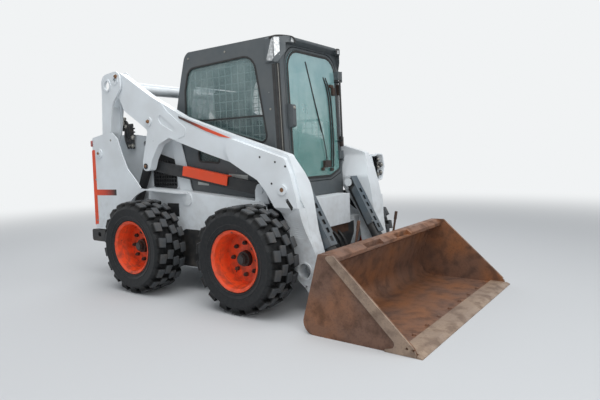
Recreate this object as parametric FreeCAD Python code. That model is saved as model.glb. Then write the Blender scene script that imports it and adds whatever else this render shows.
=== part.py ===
import FreeCAD, Part
import math
import os

# Skid steer loader with a vertical-path lift arm and a general purpose bucket.
# Millimetres. X runs forward, Y to the machine's left, Z up from the ground.
# The working frame has x = 0 at the rear axle; save() moves it to mid-length.
# Pieces are drawn for the left side (+Y) and mirrored for the right.

Vector = FreeCAD.Vector
ORIGIN = Vector(0, 0, 0)
ACROSS = Vector(0, 1, 0)

# Overall places
WHEELBASE = 1190
REAR_END = -960
GROUND_CLEARANCE = 206
TIE_DOWN = 25
TIE_DOWN_PLACE = (-840, 418)
TAILGATE_HINGES = (600, 1140)

# Wheels
TYRE_RADIUS = 398
TYRE_WIDTH = 300
CARCASS_DEPTH = 30
TYRE_FLATS = 24
LUGS_PER_ROW = 18
LUG_LENGTH = 62
LUG_SKEW = 34
LUG_TOP = TYRE_RADIUS - 4
RIM_RADIUS = 227
RIM_LIP = 12
RIM_DISC_IN = 146
WHEEL_NUTS = 8
NUT_CIRCLE = 118
NUT_SIZE = 16
HUB_RADIUS = 88
HUB_CAP = 56
AXLE_TUBE = 62
ARCH_RADIUS = 478
AXLE_GAP = 4
SPINDLE = 30
SPINDLE_REACH = 120

# Linkage pins, side view (x, z)
LINK_FOOT = (-750, 1212)
LINK_HEAD = (-465, 1877)
CONTROL_REAR = (-113, 1081)
CONTROL_FRONT = (1158, 882)
LIFT_BASE = (-460, 640)
LIFT_EYE = (-40, 1475)
TILT_BASE = (1432, 893)
TILT_EYE = (1760, 300)
BUCKET_PIN = (1640, 195)
TORSION_TUBE = (-589, 1837)
CROSS_TUBE = (-224, 1772)
LOWER_TUBE = (1545, 300)
LEG_SOCKET = (1576, 304)

# Pins and running fits
PIN = 25
BIG_PIN = 30
FIT = 0.08
SIDE_GAP = 6
SEAT = 0.3

# Half-widths of the layers, from the middle outwards
BAY_HALF = 418
BAY_WALL = 12
CAB_HALF = BAY_HALF + 22
CAB_WALL = 30
CAB_CLEAR = CAB_HALF + 60
CONTROL_IN = CAB_HALF + 30
CONTROL_OUT = CONTROL_IN + 38
LINK_IN = CONTROL_IN + 24
LINK_PLATE = 18
CASE_IN = BAY_HALF - 18
CASE_OUT = CASE_IN + 160
SIDE_PLATE = 12
ARM_IN = CONTROL_OUT + 22
ARM_OUT = ARM_IN + 70
ARM_STEP = 5
LEG_IN = CAB_HALF
LEG_OUT = LEG_IN + 116
PAD_OUT = ARM_OUT + 40
LINK_OUT = ARM_OUT + SIDE_GAP + LINK_PLATE
TOWER_IN = LINK_OUT + SIDE_GAP
TOWER_OUT = TOWER_IN + 12
TRACK = 2 * (CASE_OUT + 48) + TYRE_WIDTH
TAILGATE_AXIS = (-902, BAY_HALF - 4)
TAILGATE_WINDOW = BAY_HALF - 118

KNEE_REAR = 1285

# Cylinders
LIFT_Y = CAB_HALF + 40
LIFT_BARREL = 40
LIFT_ROD = 20
LIFT_BARREL_LENGTH = 836
TILT_Y = LEG_IN - 68
TILT_BARREL = 45
TILT_ROD = 20
TILT_BARREL_LENGTH = 552
EYE_WIDTH = 44
CYLINDER_BORE_FLOOR = 62
GUARD_PLATE = 6
LEVER_ROOM = 95

# Quick couplers
COUPLER_BOX = 60
COUPLER_HEIGHTS = (965, 1015, 1065)

# Bucket
LEVER_Y = TILT_Y - 61
BUCKET_HALF = (TRACK + TYRE_WIDTH) / 2 + 32
BUCKET_HEEL = BUCKET_PIN[0] + 154
BUCKET_TOP = 529
BUCKET_LEAN = 15.8
BUCKET_PLATE = 12
BUCKET_LIP = BUCKET_HEEL + 251
HEEL_RADIUS = 80
EDGE_REAR = BUCKET_HEEL + 686
EDGE_THICK = 22
CUTTING_TIP = BUCKET_HEEL + 840
STEP_POCKETS = ((-470, -220), (0, 250))
MID_LENGTH = (REAR_END + CUTTING_TIP) / 2

# Cab
CAB_FRONT_LOW = 1352
CAB_FRONT_TOP = 1297
CAB_LOW = 745
CAB_TOP = 2065
LAMP_PROUD = 12
LAMP_FRONT = 1356
LAMP_LOW = 1848
ROOF_EDGE = 2045
DOOR_HALF = CAB_HALF - 74
DOOR_LOW = 930
DOOR_TOP = 1980
DOOR_THICK = 36
DOOR_GAP = 6
GLASS = 6
SCREEN_BAR = 1444
SCREEN_PITCH = 70


def rounded_loop(points, place):
    """Closed wire through (a, b) or (a, b, corner radius), set in space by place(a, b)."""
    corners = []
    for index, point in enumerate(points):
        here = Vector(point[0], point[1], 0)
        radius = point[2] if len(point) > 2 else 0
        if not radius:
            corners.append((here, None, here))
            continue
        before = points[index - 1]
        after = points[(index + 1) % len(points)]
        back = Vector(before[0], before[1], 0).sub(here).normalize()
        ahead = Vector(after[0], after[1], 0).sub(here).normalize()
        half = back.getAngle(ahead) / 2
        reach = radius / math.tan(half)
        centre = here + (back + ahead).normalize() * (radius / math.sin(half))
        middle = centre + here.sub(centre).normalize() * radius
        corners.append((here + back * reach, middle, here + ahead * reach))
    edges = []
    for index, (start, middle, end) in enumerate(corners):
        if middle:
            edges.append(Part.Arc(place(start.x, start.y), place(middle.x, middle.y),
                                  place(end.x, end.y)).toShape())
        following = corners[(index + 1) % len(corners)][0]
        if end.distanceToPoint(following) > 0.001:
            edges.append(Part.makeLine(place(end.x, end.y), place(following.x, following.y)))
    return Part.Wire(edges)


def side_prism(points, y0, y1):
    """Side outline of (x, z) points, as thick as from y0 to y1."""
    wire = rounded_loop(points, lambda x, z: Vector(x, y0, z))
    return Part.Face(wire).extrude(Vector(0, y1 - y0, 0))


def plan_prism(points, z0, z1):
    """Plan outline of (x, y) points, as tall as from z0 to z1."""
    wire = rounded_loop(points, lambda x, y: Vector(x, y, z0))
    return Part.Face(wire).extrude(Vector(0, 0, z1 - z0))


def front_prism(points, x0, x1):
    """Front outline of (y, z) points, as long as from x0 to x1."""
    wire = rounded_loop(points, lambda y, z: Vector(x0, y, z))
    return Part.Face(wire).extrude(Vector(x1 - x0, 0, 0))


def block(x0, x1, y0, y1, z0, z1):
    return Part.makeBox(x1 - x0, y1 - y0, z1 - z0, Vector(x0, y0, z0))


def cross_bar(place, radius, y0, y1):
    """Round bar or hole along Y at a side-view place (x, z)."""
    return Part.makeCylinder(radius, y1 - y0, Vector(place[0], y0, place[1]), ACROSS)


def cross_tube(place, outer, inner, y0, y1):
    return cross_bar(place, outer, y0, y1).cut(cross_bar(place, inner, y0 - 1, y1 + 1))


def rod(start, end, radius):
    """Round rod between two points in space."""
    run = end.sub(start)
    return Part.makeCylinder(radius, run.Length, start, run)


def mirrored(shape):
    return shape.mirror(ORIGIN, ACROSS)


def pair(shape):
    return Part.makeCompound([shape, mirrored(shape)])


def join(first, *others):
    return first.multiFuse(list(others)).removeSplitter()


def save(name, shape):
    moved = shape.copy()
    moved.translate(Vector(-MID_LENGTH, 0, 0))
    moved.exportStep("parts/" + name + ".step")
    solids = moved.Solids
    print(name, len(solids), "solids", all(s.isValid() for s in solids), round(moved.Volume / 1e6, 2))


def cab_front(z):
    """Where the cab's leaning front is at a height."""
    rise = (z - CAB_LOW) / (DOOR_TOP - CAB_LOW)
    return CAB_FRONT_LOW + (CAB_FRONT_TOP - CAB_FRONT_LOW) * rise


def cab_underside(x):
    """Height just under the cab's sloping lower edge."""
    return 866 - (x - 172) * (866 - 799) / (1150 - 172) - SEAT


def behind_bucket(along, behind):
    """Side-view place up along the bucket's back and some way behind it."""
    lean = math.radians(BUCKET_LEAN)
    x = BUCKET_HEEL + along * math.sin(lean) - behind * math.cos(lean)
    z = along * math.cos(lean) + behind * math.sin(lean)
    return (x, z)


# Frame and body

def chain_case():
    outline = [(-600, 240, 30), (-560, GROUND_CLEARANCE, 20), (1240, GROUND_CLEARANCE, 30),
               (1400, 340, 40), (1440, 450, 40), (1440, 590), (-600, 590)]
    case = side_prism(outline, CASE_IN, CASE_OUT)
    upper = side_prism([(-150, 580), (1440, 580), (1425, 600, 20), (1270, 700, 60), (1205, 795, 30),
                        (373, 856), (-150, 881)], CASE_OUT - SIDE_PLATE, CASE_OUT)
    shelf = side_prism([(-150, 869), (373, 844), (1150, 787), (1150, 799), (373, 856), (-150, 881)],
                       CAB_HALF + 6, CASE_OUT)
    fender = side_prism([(-99, 867), (373, 844), (373, 856), (-99, 879)], CASE_OUT, TOWER_OUT)
    lobe = cross_bar((367, 800), 60, CASE_OUT, CASE_OUT + 10)
    mounts = [side_prism([(x, 588), (x + 60, 588), (x + 60, cab_underside(x + 60)), (x, cab_underside(x))],
                         CASE_IN + 4, CAB_HALF - 2) for x in (300, 1060)]
    upright = side_prism([(160, 860), (312, 850), (205, 1262), (205, 1330), (75, 1330), (75, 1290)],
                         CAB_HALF + 6, CAB_HALF + 16)
    return join(case, upper, shelf, fender, lobe, upright, *mounts)


def control_bracket():
    """Clevis on the frame for the control link's front pin."""
    x, z = CONTROL_FRONT
    plate = [(x - 60, 780), (x + 75, 780), (x + 58, z, 10), (x + 35, z + 50, 30), (x - 35, z + 50, 30),
             (x - 58, z, 10)]
    outer = side_prism(plate, CONTROL_OUT + 4, CONTROL_OUT + 16)
    inner = side_prism(plate, CAB_HALF + 8, CONTROL_IN - 4)
    pin = cross_bar(CONTROL_FRONT, PIN, CAB_HALF + 8, CONTROL_OUT + 22)
    return join(outer, inner, pin)


def lift_base_bracket():
    """Lug and pin for the lift cylinder's lower eye, on the chain case."""
    x, z = LIFT_BASE
    lug = side_prism([(x - 85, 588), (x + 85, 588), (x + 45, z + 25, 25), (x - 45, z + 25, 25)],
                     LIFT_Y + 46, LIFT_Y + 58)
    pin = cross_bar(LIFT_BASE, PIN, BAY_HALF + BAY_WALL + SEAT, LIFT_Y + 64)
    return join(lug, pin)


def main_frame():
    side = join(chain_case(), control_bracket(), lift_base_bracket())
    belly = block(-560, 1240, -CASE_IN, CASE_IN, GROUND_CLEARANCE, GROUND_CLEARANCE + 10)
    front = side_prism([(1240, GROUND_CLEARANCE), (1400, 340), (1440, 450), (1440, 560), (1428, 560),
                        (1428, 453), (1390, 346), (1235, GROUND_CLEARANCE + 10)], -CASE_IN, CASE_IN)
    middle = block(330, 345, -CASE_IN, CASE_IN, GROUND_CLEARANCE + 10, 700)
    return join(side, mirrored(side), belly, front, middle)


def tower():
    """Rear upright: outer plate with wheel arch, rear wall and inner bay wall."""
    outer = side_prism([(-884, 478), (-440, 478), (-100, 800), (-100, 878), (-150, 881), (-218, 954, 40),
                        (-335, 1060, 60), (-407, 1203, 150), (-466, 1345, 60), (-546, 1402, 40),
                        (-681, 1391, 60), (-863, 1361, 25)], TOWER_IN, TOWER_OUT)
    outer = outer.cut(cross_bar((0, TYRE_RADIUS), ARCH_RADIUS, TOWER_IN - 1, TOWER_OUT + 1))
    rear = side_prism([(-884, 478), (-872, 478), (-851, 1361), (-863, 1361)], BAY_HALF, TOWER_IN)
    inner = side_prism([(-878, 478), (-606, 478), (-606, 590 + SEAT), (150, 590 + SEAT), (120, 800),
                        (135, 1310), (-546, 1390, 30),
                        (-681, 1385), (-858, 1350)], BAY_HALF, BAY_HALF + BAY_WALL)
    opening = side_prism([(-235, 880, 30), (100, 868, 30), (100, 1130, 30), (-120, 1190, 40),
                          (-235, 1140, 60)], BAY_HALF - 1, BAY_HALF + BAY_WALL + 1)
    inner = inner.cut(opening)
    for place, radius in (((-300, 1180), 34), ((-330, 1290), 24), ((-250, 1260), 20)):
        inner = inner.cut(cross_bar(place, radius, BAY_HALF - 1, BAY_HALF + BAY_WALL + 1))
    boss = cross_bar(LINK_FOOT, 46, TOWER_OUT, TOWER_OUT + 12)
    pin = cross_bar(LINK_FOOT, BIG_PIN, BAY_HALF + 2, TOWER_OUT + 18)
    return join(outer, rear, inner, boss, pin)


def tower_stripe():
    """Upright corner strip on the tower's rear edge."""
    return side_prism([(-896, 520), (-884, 508), (-866, 1246), (-878, 1234)], TOWER_IN - 42, TOWER_OUT)


def side_grille():
    """Wire mesh set in the bay wall."""
    y0 = BAY_HALF + 2
    y1 = BAY_HALF + BAY_WALL - 2
    outline = [(-234, 881, 29), (99, 869, 29), (99, 1129, 29), (-120, 1189, 40), (-234, 1139, 60)]
    sheet = side_prism(outline, y0, y1)
    holes = []
    for column in range(9):
        for row in range(7):
            x = -214 + column * 34
            z = 896 + row * 34
            if x < -190 and z > 1080 or x > 0 and z > 1080:
                continue
            holes.append(block(x, x + 25, y0 - 1, y1 + 1, z, z + 25))
    return sheet.cut(holes[0].multiFuse(holes[1:]))


def rear_bumper():
    """Channel round the lower rear corners, with a tie-down hole in each side."""
    beam = REAR_END + 60
    outer = side_prism([(REAR_END, 352, 25), (-745, 352), (-745, 468), (REAR_END, 468, 25)],
                       -TOWER_OUT, TOWER_OUT)
    inner = block(beam, -740, -TOWER_OUT + 14, TOWER_OUT - 14, 340, 480)
    hole = cross_bar(TIE_DOWN_PLACE, TIE_DOWN, -TOWER_OUT - 1, TOWER_OUT + 1)
    channel = outer.cut(inner).cut(hole)
    carrier = block(beam - 10, -600 - SEAT, CASE_IN + 40, CASE_OUT - 40, 352, 468)
    return join(channel, carrier, mirrored(carrier))


def axle(x):
    """Housing out of the chain case with the spindle that carries a wheel."""
    end = TRACK / 2 - TYRE_WIDTH / 2 + 92
    housing = cross_bar((x, TYRE_RADIUS), AXLE_TUBE, CASE_OUT, end)
    return housing.fuse(cross_bar((x, TYRE_RADIUS), SPINDLE, end, end + SPINDLE_REACH))


def engine():
    low = GROUND_CLEARANCE + 10 + SEAT
    feet = [block(x, x + 50, -200, 200, low, 420) for x in (-530, -300)]
    return join(block(-740, -200, -260, 260, 420, 900), block(-640, -280, -160, 160, 900, 1120), *feet)


def top_grille():
    """Slotted cover over the engine bay."""
    half = BAY_HALF - SEAT
    cover = side_prism([(-845, 1335), (130, 1285), (130, 1310), (-845, 1360)], -half, half)
    slots = []
    for row in range(9):
        x = -760 + row * 92
        for y in (-0.45 * half, 0.45 * half):
            slots.append(block(x, x + 46, y - 0.36 * half, y + 0.36 * half, 1250, 1400))
    return cover.cut(slots[0].multiFuse(slots[1:]))


def rear_lamp():
    return side_prism([(-886, 1268), (-865.5, 1268), (-864, 1332), (-884, 1332)],
                      TOWER_IN - 90, TOWER_IN - 30)


def tailgate():
    """Rear door of the engine bay with a louvred upper half."""
    half = BAY_HALF - 8
    skin = side_prism([(-884, 490, 14), (-866, 490), (-845, 1330), (-866, 1330, 14)], -half, half)
    pieces = [skin.cut(block(-900, -800, -TAILGATE_WINDOW, TAILGATE_WINDOW, 760, 1230))]
    for z in TAILGATE_HINGES:
        pieces.append(Part.makeCylinder(11, 80, Vector(TAILGATE_AXIS[0], TAILGATE_AXIS[1], z)))
        pieces.append(block(TAILGATE_AXIS[0], -870, half - 50, half - 6, z, z + 80))
        pieces.append(block(TAILGATE_AXIS[0] - 4, TAILGATE_AXIS[0] + 4, half - 50, half, z, z + 80))
    gate = join(*pieces)
    for z in TAILGATE_HINGES:
        gate = gate.cut(Part.makeCylinder(6 + FIT, 82, Vector(TAILGATE_AXIS[0], TAILGATE_AXIS[1], z - 1)))
    return gate


def tailgate_pins():
    """Fixed pins on the left rear wall for the tailgate's knuckles."""
    pieces = []
    for z in TAILGATE_HINGES:
        pieces.append(Part.makeCylinder(6, 96, Vector(TAILGATE_AXIS[0], TAILGATE_AXIS[1], z - 22)))
        pieces.append(block(TAILGATE_AXIS[0] - 10, -890, TAILGATE_AXIS[1] - 10, CAB_HALF, z - 22, z - 4))
        pieces.append(block(-892, -868, BAY_HALF, CAB_HALF, z - 22, z - 4))
    return pieces


def tailgate_louvres():
    half = TAILGATE_WINDOW - SEAT
    blades = []
    for row in range(9):
        z = 772 + row * 51
        blades.append(side_prism([(-874, z), (-868, z), (-852, z + 34), (-858, z + 34)], -half, half))
    rails = [block(-872, -860, y, y + 14, 761, 1229) for y in (-half, -7, half - 14)]
    return join(rails[0], *(rails[1:] + blades))


def front_panel():
    """Rounded white panel between the lift arms, under the cab."""
    shell = plan_prism([(1358, -270), (1500, -270, 45), (1500, 270, 45), (1358, 270)], 560 + SEAT, 805)
    hollow = plan_prism([(1350, -262), (1492, -262, 37), (1492, 262, 37), (1350, 262)], 550, 797)
    return shell.cut(hollow)


# Cab

def cab_body(inset):
    """The cab's outer form, or with an inset the form of its inside."""
    low = CAB_LOW + inset
    side = [(172 + inset, 866 + inset), (150 + inset, 1290), (154 + inset, 1582), (221 + inset, 1828),
            (285 + inset, 2040 - inset, 90), (500, 2066 - inset),
            (CAB_FRONT_TOP - 3 - inset, 2066 - inset, 30),
            (cab_front(CAB_LOW) - inset, low, 40), (1190, low), (1150, 799 + inset)]
    half = CAB_HALF - inset
    body = side_prism(side, -half, half)
    slant = inset * 0.6
    plan = [(100, -half), (1249 - slant, -half), (1420, -half + 98), (1420, half - 98),
            (1249 - slant, half), (100, half)]
    body = body.common(plan_prism(plan, 600, 2200))
    edge = ROOF_EDGE - inset - 6
    crown = Part.Wire([
        Part.Arc(Vector(0, -CAB_CLEAR, edge), Vector(0, 0, CAB_TOP - inset),
                 Vector(0, CAB_CLEAR, edge)).toShape(),
        Part.makeLine(Vector(0, CAB_CLEAR, edge), Vector(0, CAB_CLEAR, 500)),
        Part.makeLine(Vector(0, CAB_CLEAR, 500), Vector(0, -CAB_CLEAR, 500)),
        Part.makeLine(Vector(0, -CAB_CLEAR, 500), Vector(0, -CAB_CLEAR, edge))])
    return body.common(Part.Face(crown).extrude(Vector(1500, 0, 0)))


def door_outline(grow):
    half = DOOR_HALF + grow
    foot = DOOR_HALF - 166
    return [(half, DOOR_LOW + 55 - grow, 40), (half, DOOR_TOP + grow, 150), (-half, DOOR_TOP + grow, 150),
            (-half, DOOR_LOW + 55 - grow, 40), (-foot, DOOR_LOW - grow, 60), (foot, DOOR_LOW - grow, 60)]


def side_window(shrink):
    return [(322 + shrink, 1905 - shrink, 90), (1060 - shrink, 1928 - shrink, 130),
            (1182 - shrink, 1235 + shrink, 50), (262 + shrink, 1470 + shrink, 60),
            (268 + shrink, 1720, 60)]


def lower_window(shrink):
    return [(392 + shrink, 1215 - shrink, 30), (650 - shrink, 1185 - shrink, 30),
            (650 - shrink, 1095 + shrink, 25), (410 + shrink, 1112 + shrink, 25)]


def rear_window(shrink):
    half = CAB_HALF - 140 - shrink
    return [(-half, 1500 + shrink, 40), (half, 1500 + shrink, 40),
            (half, 1780 - shrink, 40), (-half, 1780 - shrink, 40)]


def cab_shell():
    shell = cab_body(0).cut(cab_body(CAB_WALL))
    shell = shell.cut(front_prism(door_outline(DOOR_GAP), 1200, 1450))
    for outline in (side_window(0), lower_window(0)):
        shell = shell.cut(side_prism(outline, -CAB_CLEAR, CAB_CLEAR))
    return shell.cut(front_prism(rear_window(0), 100, 400))


def cab_pieces():
    """Roof, two sides, rear wall, front frame and floor, split where the panels meet."""
    shell = cab_shell()
    front_x = 1249
    roof = shell.common(block(0, 1500, -CAB_CLEAR, CAB_CLEAR, 1985, 2200))
    lower = shell.common(block(0, 1500, -CAB_CLEAR, CAB_CLEAR, 600, 1985))
    floor = lower.common(block(0, front_x, -CAB_HALF + CAB_WALL, CAB_HALF - CAB_WALL, 600, 905))
    deck = block(0, front_x, -CAB_HALF + CAB_WALL, CAB_HALF - CAB_WALL, 885, 905)
    floor = floor.fuse(deck.common(cab_body(CAB_WALL)))
    rear = lower.common(block(0, 420, -CAB_HALF + CAB_WALL, CAB_HALF - CAB_WALL, 905, 1985))
    left = lower.common(block(0, front_x, CAB_HALF - CAB_WALL, CAB_CLEAR, 600, 1985))
    right = lower.common(block(0, front_x, -CAB_CLEAR, -CAB_HALF + CAB_WALL, 600, 1985))
    front = lower.common(block(front_x, 1500, -CAB_CLEAR, CAB_CLEAR, 600, 1985))
    return roof, left, right, rear, front, floor


def window_pane(outline, y0, y1):
    return side_prism(outline, y0, y1)


def window_screen():
    """Wire mesh inside a side window: flat bars both ways in a border."""
    y0 = CAB_HALF - CAB_WALL + 2
    y1 = y0 + 6
    outer = side_prism(side_window(SEAT), y0, y1)
    inner = side_prism(side_window(20), y0 - 1, y1 + 1)
    bars = [block(250, 1200, y0, y1, SCREEN_BAR, SCREEN_BAR + 22)]
    for column in range(13):
        x = 305 + column * SCREEN_PITCH
        bars.append(block(x, x + 5, y0, y1, 1200, 1950))
    for row in range(-3, 7):
        z = SCREEN_BAR + 8 + row * SCREEN_PITCH
        bars.append(block(250, 1200, y0, y1, z, z + 5))
    mesh = bars[0].multiFuse(bars[1:]).common(inner)
    return join(outer.cut(inner), *mesh.Solids)


def head_lamp():
    """Wedge lamp on the roof's front corner, wide above the door and pointed below."""
    top = ROOF_EDGE - 7
    inner = DOOR_HALF - 66
    side = DOOR_HALF + 18
    wedge = front_prism([(CAB_HALF + LAMP_PROUD, LAMP_LOW, 6), (CAB_HALF + LAMP_PROUD, top, 18),
                         (inner, top + 2, 12), (inner, DOOR_TOP + 12, 6), (side, DOOR_TOP + 12),
                         (side, LAMP_LOW + 82), (CAB_HALF - 10, LAMP_LOW)], 1190, LAMP_FRONT)
    plan = plan_prism([(1190, inner - 5), (LAMP_FRONT, inner - 5), (LAMP_FRONT, side - 20, 15),
                       (1270, CAB_HALF + LAMP_PROUD, 15), (1190, CAB_HALF + LAMP_PROUD)],
                      LAMP_LOW - 5, top + 5)
    return wedge.common(plan).cut(cab_body(-SEAT))


def visor():
    """Shade over the door between the lamps, with its underside sloping back."""
    half = DOOR_HALF - 66 - 1
    brow = side_prism([(1240, ROOF_EDGE + 4), (1240, DOOR_TOP + 14), (1302, DOOR_TOP + 14),
                       (1350, ROOF_EDGE - 26, 8), (1350, ROOF_EDGE - 4, 12), (1290, ROOF_EDGE + 12)],
                      -half, half)
    return brow.cut(cab_body(-SEAT))


def grab_bar():
    """Bent tube handle on the door's hinge side."""
    x0 = cab_front(1770)
    y = DOOR_HALF - 31
    route = [Vector(x0 - 8, y - 5, 1770), Vector(x0 + 58, y, 1760), Vector(x0 + 70, y, 1260),
             Vector(x0 + 12, y - 5, 1245)]
    pieces = [rod(route[i], route[i + 1], 9) for i in range(3)]
    pieces += [Part.makeSphere(9, point) for point in route[1:3]]
    return join(pieces[0], *pieces[1:]).cut(door_slab(door_outline(0), 0, DOOR_THICK))


def door_slab(outline, front, back):
    """Slice of the leaning door between two depths behind the cab's front."""
    low = DOOR_LOW - 60
    high = DOOR_TOP + 60
    slab = side_prism([(cab_front(low) - front, low), (cab_front(high) - front, high),
                       (cab_front(high) - back, high), (cab_front(low) - back, low)],
                      -CAB_CLEAR, CAB_CLEAR)
    return slab.common(front_prism(outline, 1150, 1500))


def door_frame():
    frame = door_slab(door_outline(0), 0, DOOR_THICK)
    frame = frame.cut(door_slab(door_outline(-46), -10, DOOR_THICK + 10))
    hinges = []
    for z in (1100, 1780):
        axis = Vector(door_hinge_x(), DOOR_HALF + 10, z)
        leaf = block(cab_front(z) - 14, door_hinge_x(), DOOR_HALF - 40, DOOR_HALF - 1, z, z + 70)
        bridge = block(cab_front(z) + 4, door_hinge_x() + 5, DOOR_HALF - 40, DOOR_HALF + 10, z, z + 70)
        hinges += [leaf, bridge, Part.makeCylinder(13, 70, axis)]
    x = cab_front(1440)
    handle = side_prism([(x - 8, 1350), (x + 52, 1362, 22), (x + 48, 1530, 22), (x - 12, 1540)],
                        -DOOR_HALF + 2, -DOOR_HALF + 44)
    whole = join(frame, *hinges, handle)
    for z in (1100, 1780):
        whole = whole.cut(Part.makeCylinder(6 + FIT, 74, Vector(door_hinge_x(), DOOR_HALF + 10, z - 2)))
    return whole


def door_hinge_x():
    return cab_front(1100) + 14


def door_hinge_pins():
    """Fixed pins and brackets of the door hinges, on the cab's left front post."""
    pieces = []
    for z in (1100, 1780):
        pin = Part.makeCylinder(6, 90, Vector(door_hinge_x(), DOOR_HALF + 10, z - 20))
        foot = plan_prism([(1250, DOOR_HALF + 66), (door_hinge_x() - 12, DOOR_HALF + 24),
                           (door_hinge_x() + 12, DOOR_HALF + 16), (door_hinge_x() + 12, DOOR_HALF + 2),
                           (door_hinge_x() - 12, DOOR_HALF + 2), (door_hinge_x() - 12, DOOR_HALF + 8)],
                          z - 20, z - 2)
        pieces.append(pin.fuse(foot).cut(cab_body(CAB_WALL)))
    return pieces


def seat_base():
    return join(block(430, 860, -230, 230, 905 + SEAT, 990), block(470, 820, -190, 190, 990, 1110))


def seat_cushion():
    low = 1110 + SEAT
    return side_prism([(440, low, 30), (900, low, 40), (905, 1200, 40), (440, 1190, 30)], -240, 240)


def seat_back():
    return side_prism([(392, 1120, 15), (440 - SEAT, 1120), (440 - SEAT, 1205), (490, 1215, 25),
                       (425, 1760, 30), (340, 1750, 30)], -230, 230)


def control_lever():
    y = DOOR_HALF - 70
    console = block(700, 960, y - 34, y + 34, 905 + SEAT, 1190)
    stick = rod(Vector(930, y, 1180), Vector(955, y - 6, 1330), 12)
    grip = rod(Vector(953, y - 6, 1322), Vector(968, y - 10, 1430), 24)
    return join(console, stick, grip)


def foot_rest():
    return block(1020, 1220, -300, 300, 904, 925)


# Lift linkage

def rear_links():
    """Two plate-and-web links joined by a torsion tube."""
    outline = [(-790, 1180), (-712, 1385, 90), (-682, 1760, 160), (-680, 1935, 85),
               (-400, 1962, 75), (-392, 1800, 60), (-530, 1660, 150), (-584, 1390, 120), (-705, 1185)]
    web = side_prism([(-752, 1300, 20), (-706, 1400, 60), (-676, 1640), (-566, 1640), (-600, 1400, 60),
                      (-660, 1290, 20)], LINK_IN + LINK_PLATE, LINK_OUT - LINK_PLATE)
    inner = side_prism(outline, LINK_IN, LINK_IN + LINK_PLATE)
    outer = side_prism(outline, LINK_OUT - LINK_PLATE, LINK_OUT)
    boss = cross_bar(LINK_HEAD, 44, LINK_OUT, LINK_OUT + 8)
    ring = cross_bar(TORSION_TUBE, 58, LINK_OUT, LINK_OUT + 8)
    foot_in = cross_bar(LINK_FOOT, 52, LINK_IN, LINK_IN + LINK_PLATE)
    foot_out = cross_bar(LINK_FOOT, 52, LINK_OUT - LINK_PLATE, LINK_OUT)
    side = join(web, inner, outer, boss, ring, foot_in, foot_out)
    side = side.cut(cross_bar(LINK_FOOT, BIG_PIN + FIT, LINK_IN - 1, LINK_OUT + 1))
    side = side.cut(cross_bar(LINK_HEAD, 20, LINK_IN - 1, LINK_OUT + 9))
    side = side.cut(cross_bar(TORSION_TUBE, 42, LINK_OUT - LINK_PLATE - 1, LINK_OUT + 9))
    tube = cross_bar(TORSION_TUBE, 58, -LINK_IN, LINK_IN)
    return join(tube, side, mirrored(side))


def arm_outline():
    """Side outline of the whole lift arm, from its rear pin round by the foot."""
    return [(-520, 1900, 50), (-440, 1950, 60), (-2, 1690, 260), (312, 1535), (403, 1490, 200),
            (938, 1316), (1490, 1150, 40), (1545, 1020, 120), (1590, 850, 300), (1630, 600, 400),
            (1680, 430, 200), (1698, 205), (1585, 170), (1511, 230, 40), (1497, 363, 80),
            (1476, 525, 120), (1462, 628, 40), (1403, 719, 60), (1301, 867, 120),
            (1218, 952, 60), (1082, 1018, 80), (940, 1098, 120), (677, 1173, 300), (380, 1265, 200),
            (216, 1323, 60), (70, 1267, 70), (-27, 1136, 60), (-66, 1040, 45), (-158, 1038, 45),
            (-158, 1114, 40), (-67, 1398, 30), (-173, 1466, 60), (-385, 1592, 120), (-476, 1755, 100)]


def arm_front_section():
    """Front view of the arm: beam out at the top, leg drawn inwards below."""
    return [(ARM_IN, 2100), (ARM_IN, 1129, 60), (LEG_IN, 943, 60), (LEG_IN, 60), (LEG_OUT, 60),
            (LEG_OUT, 740, 80), (ARM_OUT, 826), (ARM_OUT, 2100)]


def thin_beam_outline():
    """Front part of the beam, thinner than the plate that carries the rear pins."""
    return [(60, 1700), (200, 1550, 60), (335, 1455, 80), (428, 1394, 30), (417, 1330, 30), (322, 1312, 30),
            (300, 1200), (1300, 700), (1400, 1000), (1300, 1500)]


def pad_outline():
    """Raised outer plate on the beam's front third and the knee."""
    return [(905, 1215, 40), (950, 1290, 40), (1480, 1125, 30), (1532, 1010, 100), (1572, 860, 200),
            (1615, 640), (1470, 640, 30), (1403, 735, 30), (1305, 880, 100), (1225, 968, 60),
            (1090, 1035, 80),
            (950, 1110, 60)]


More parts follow.
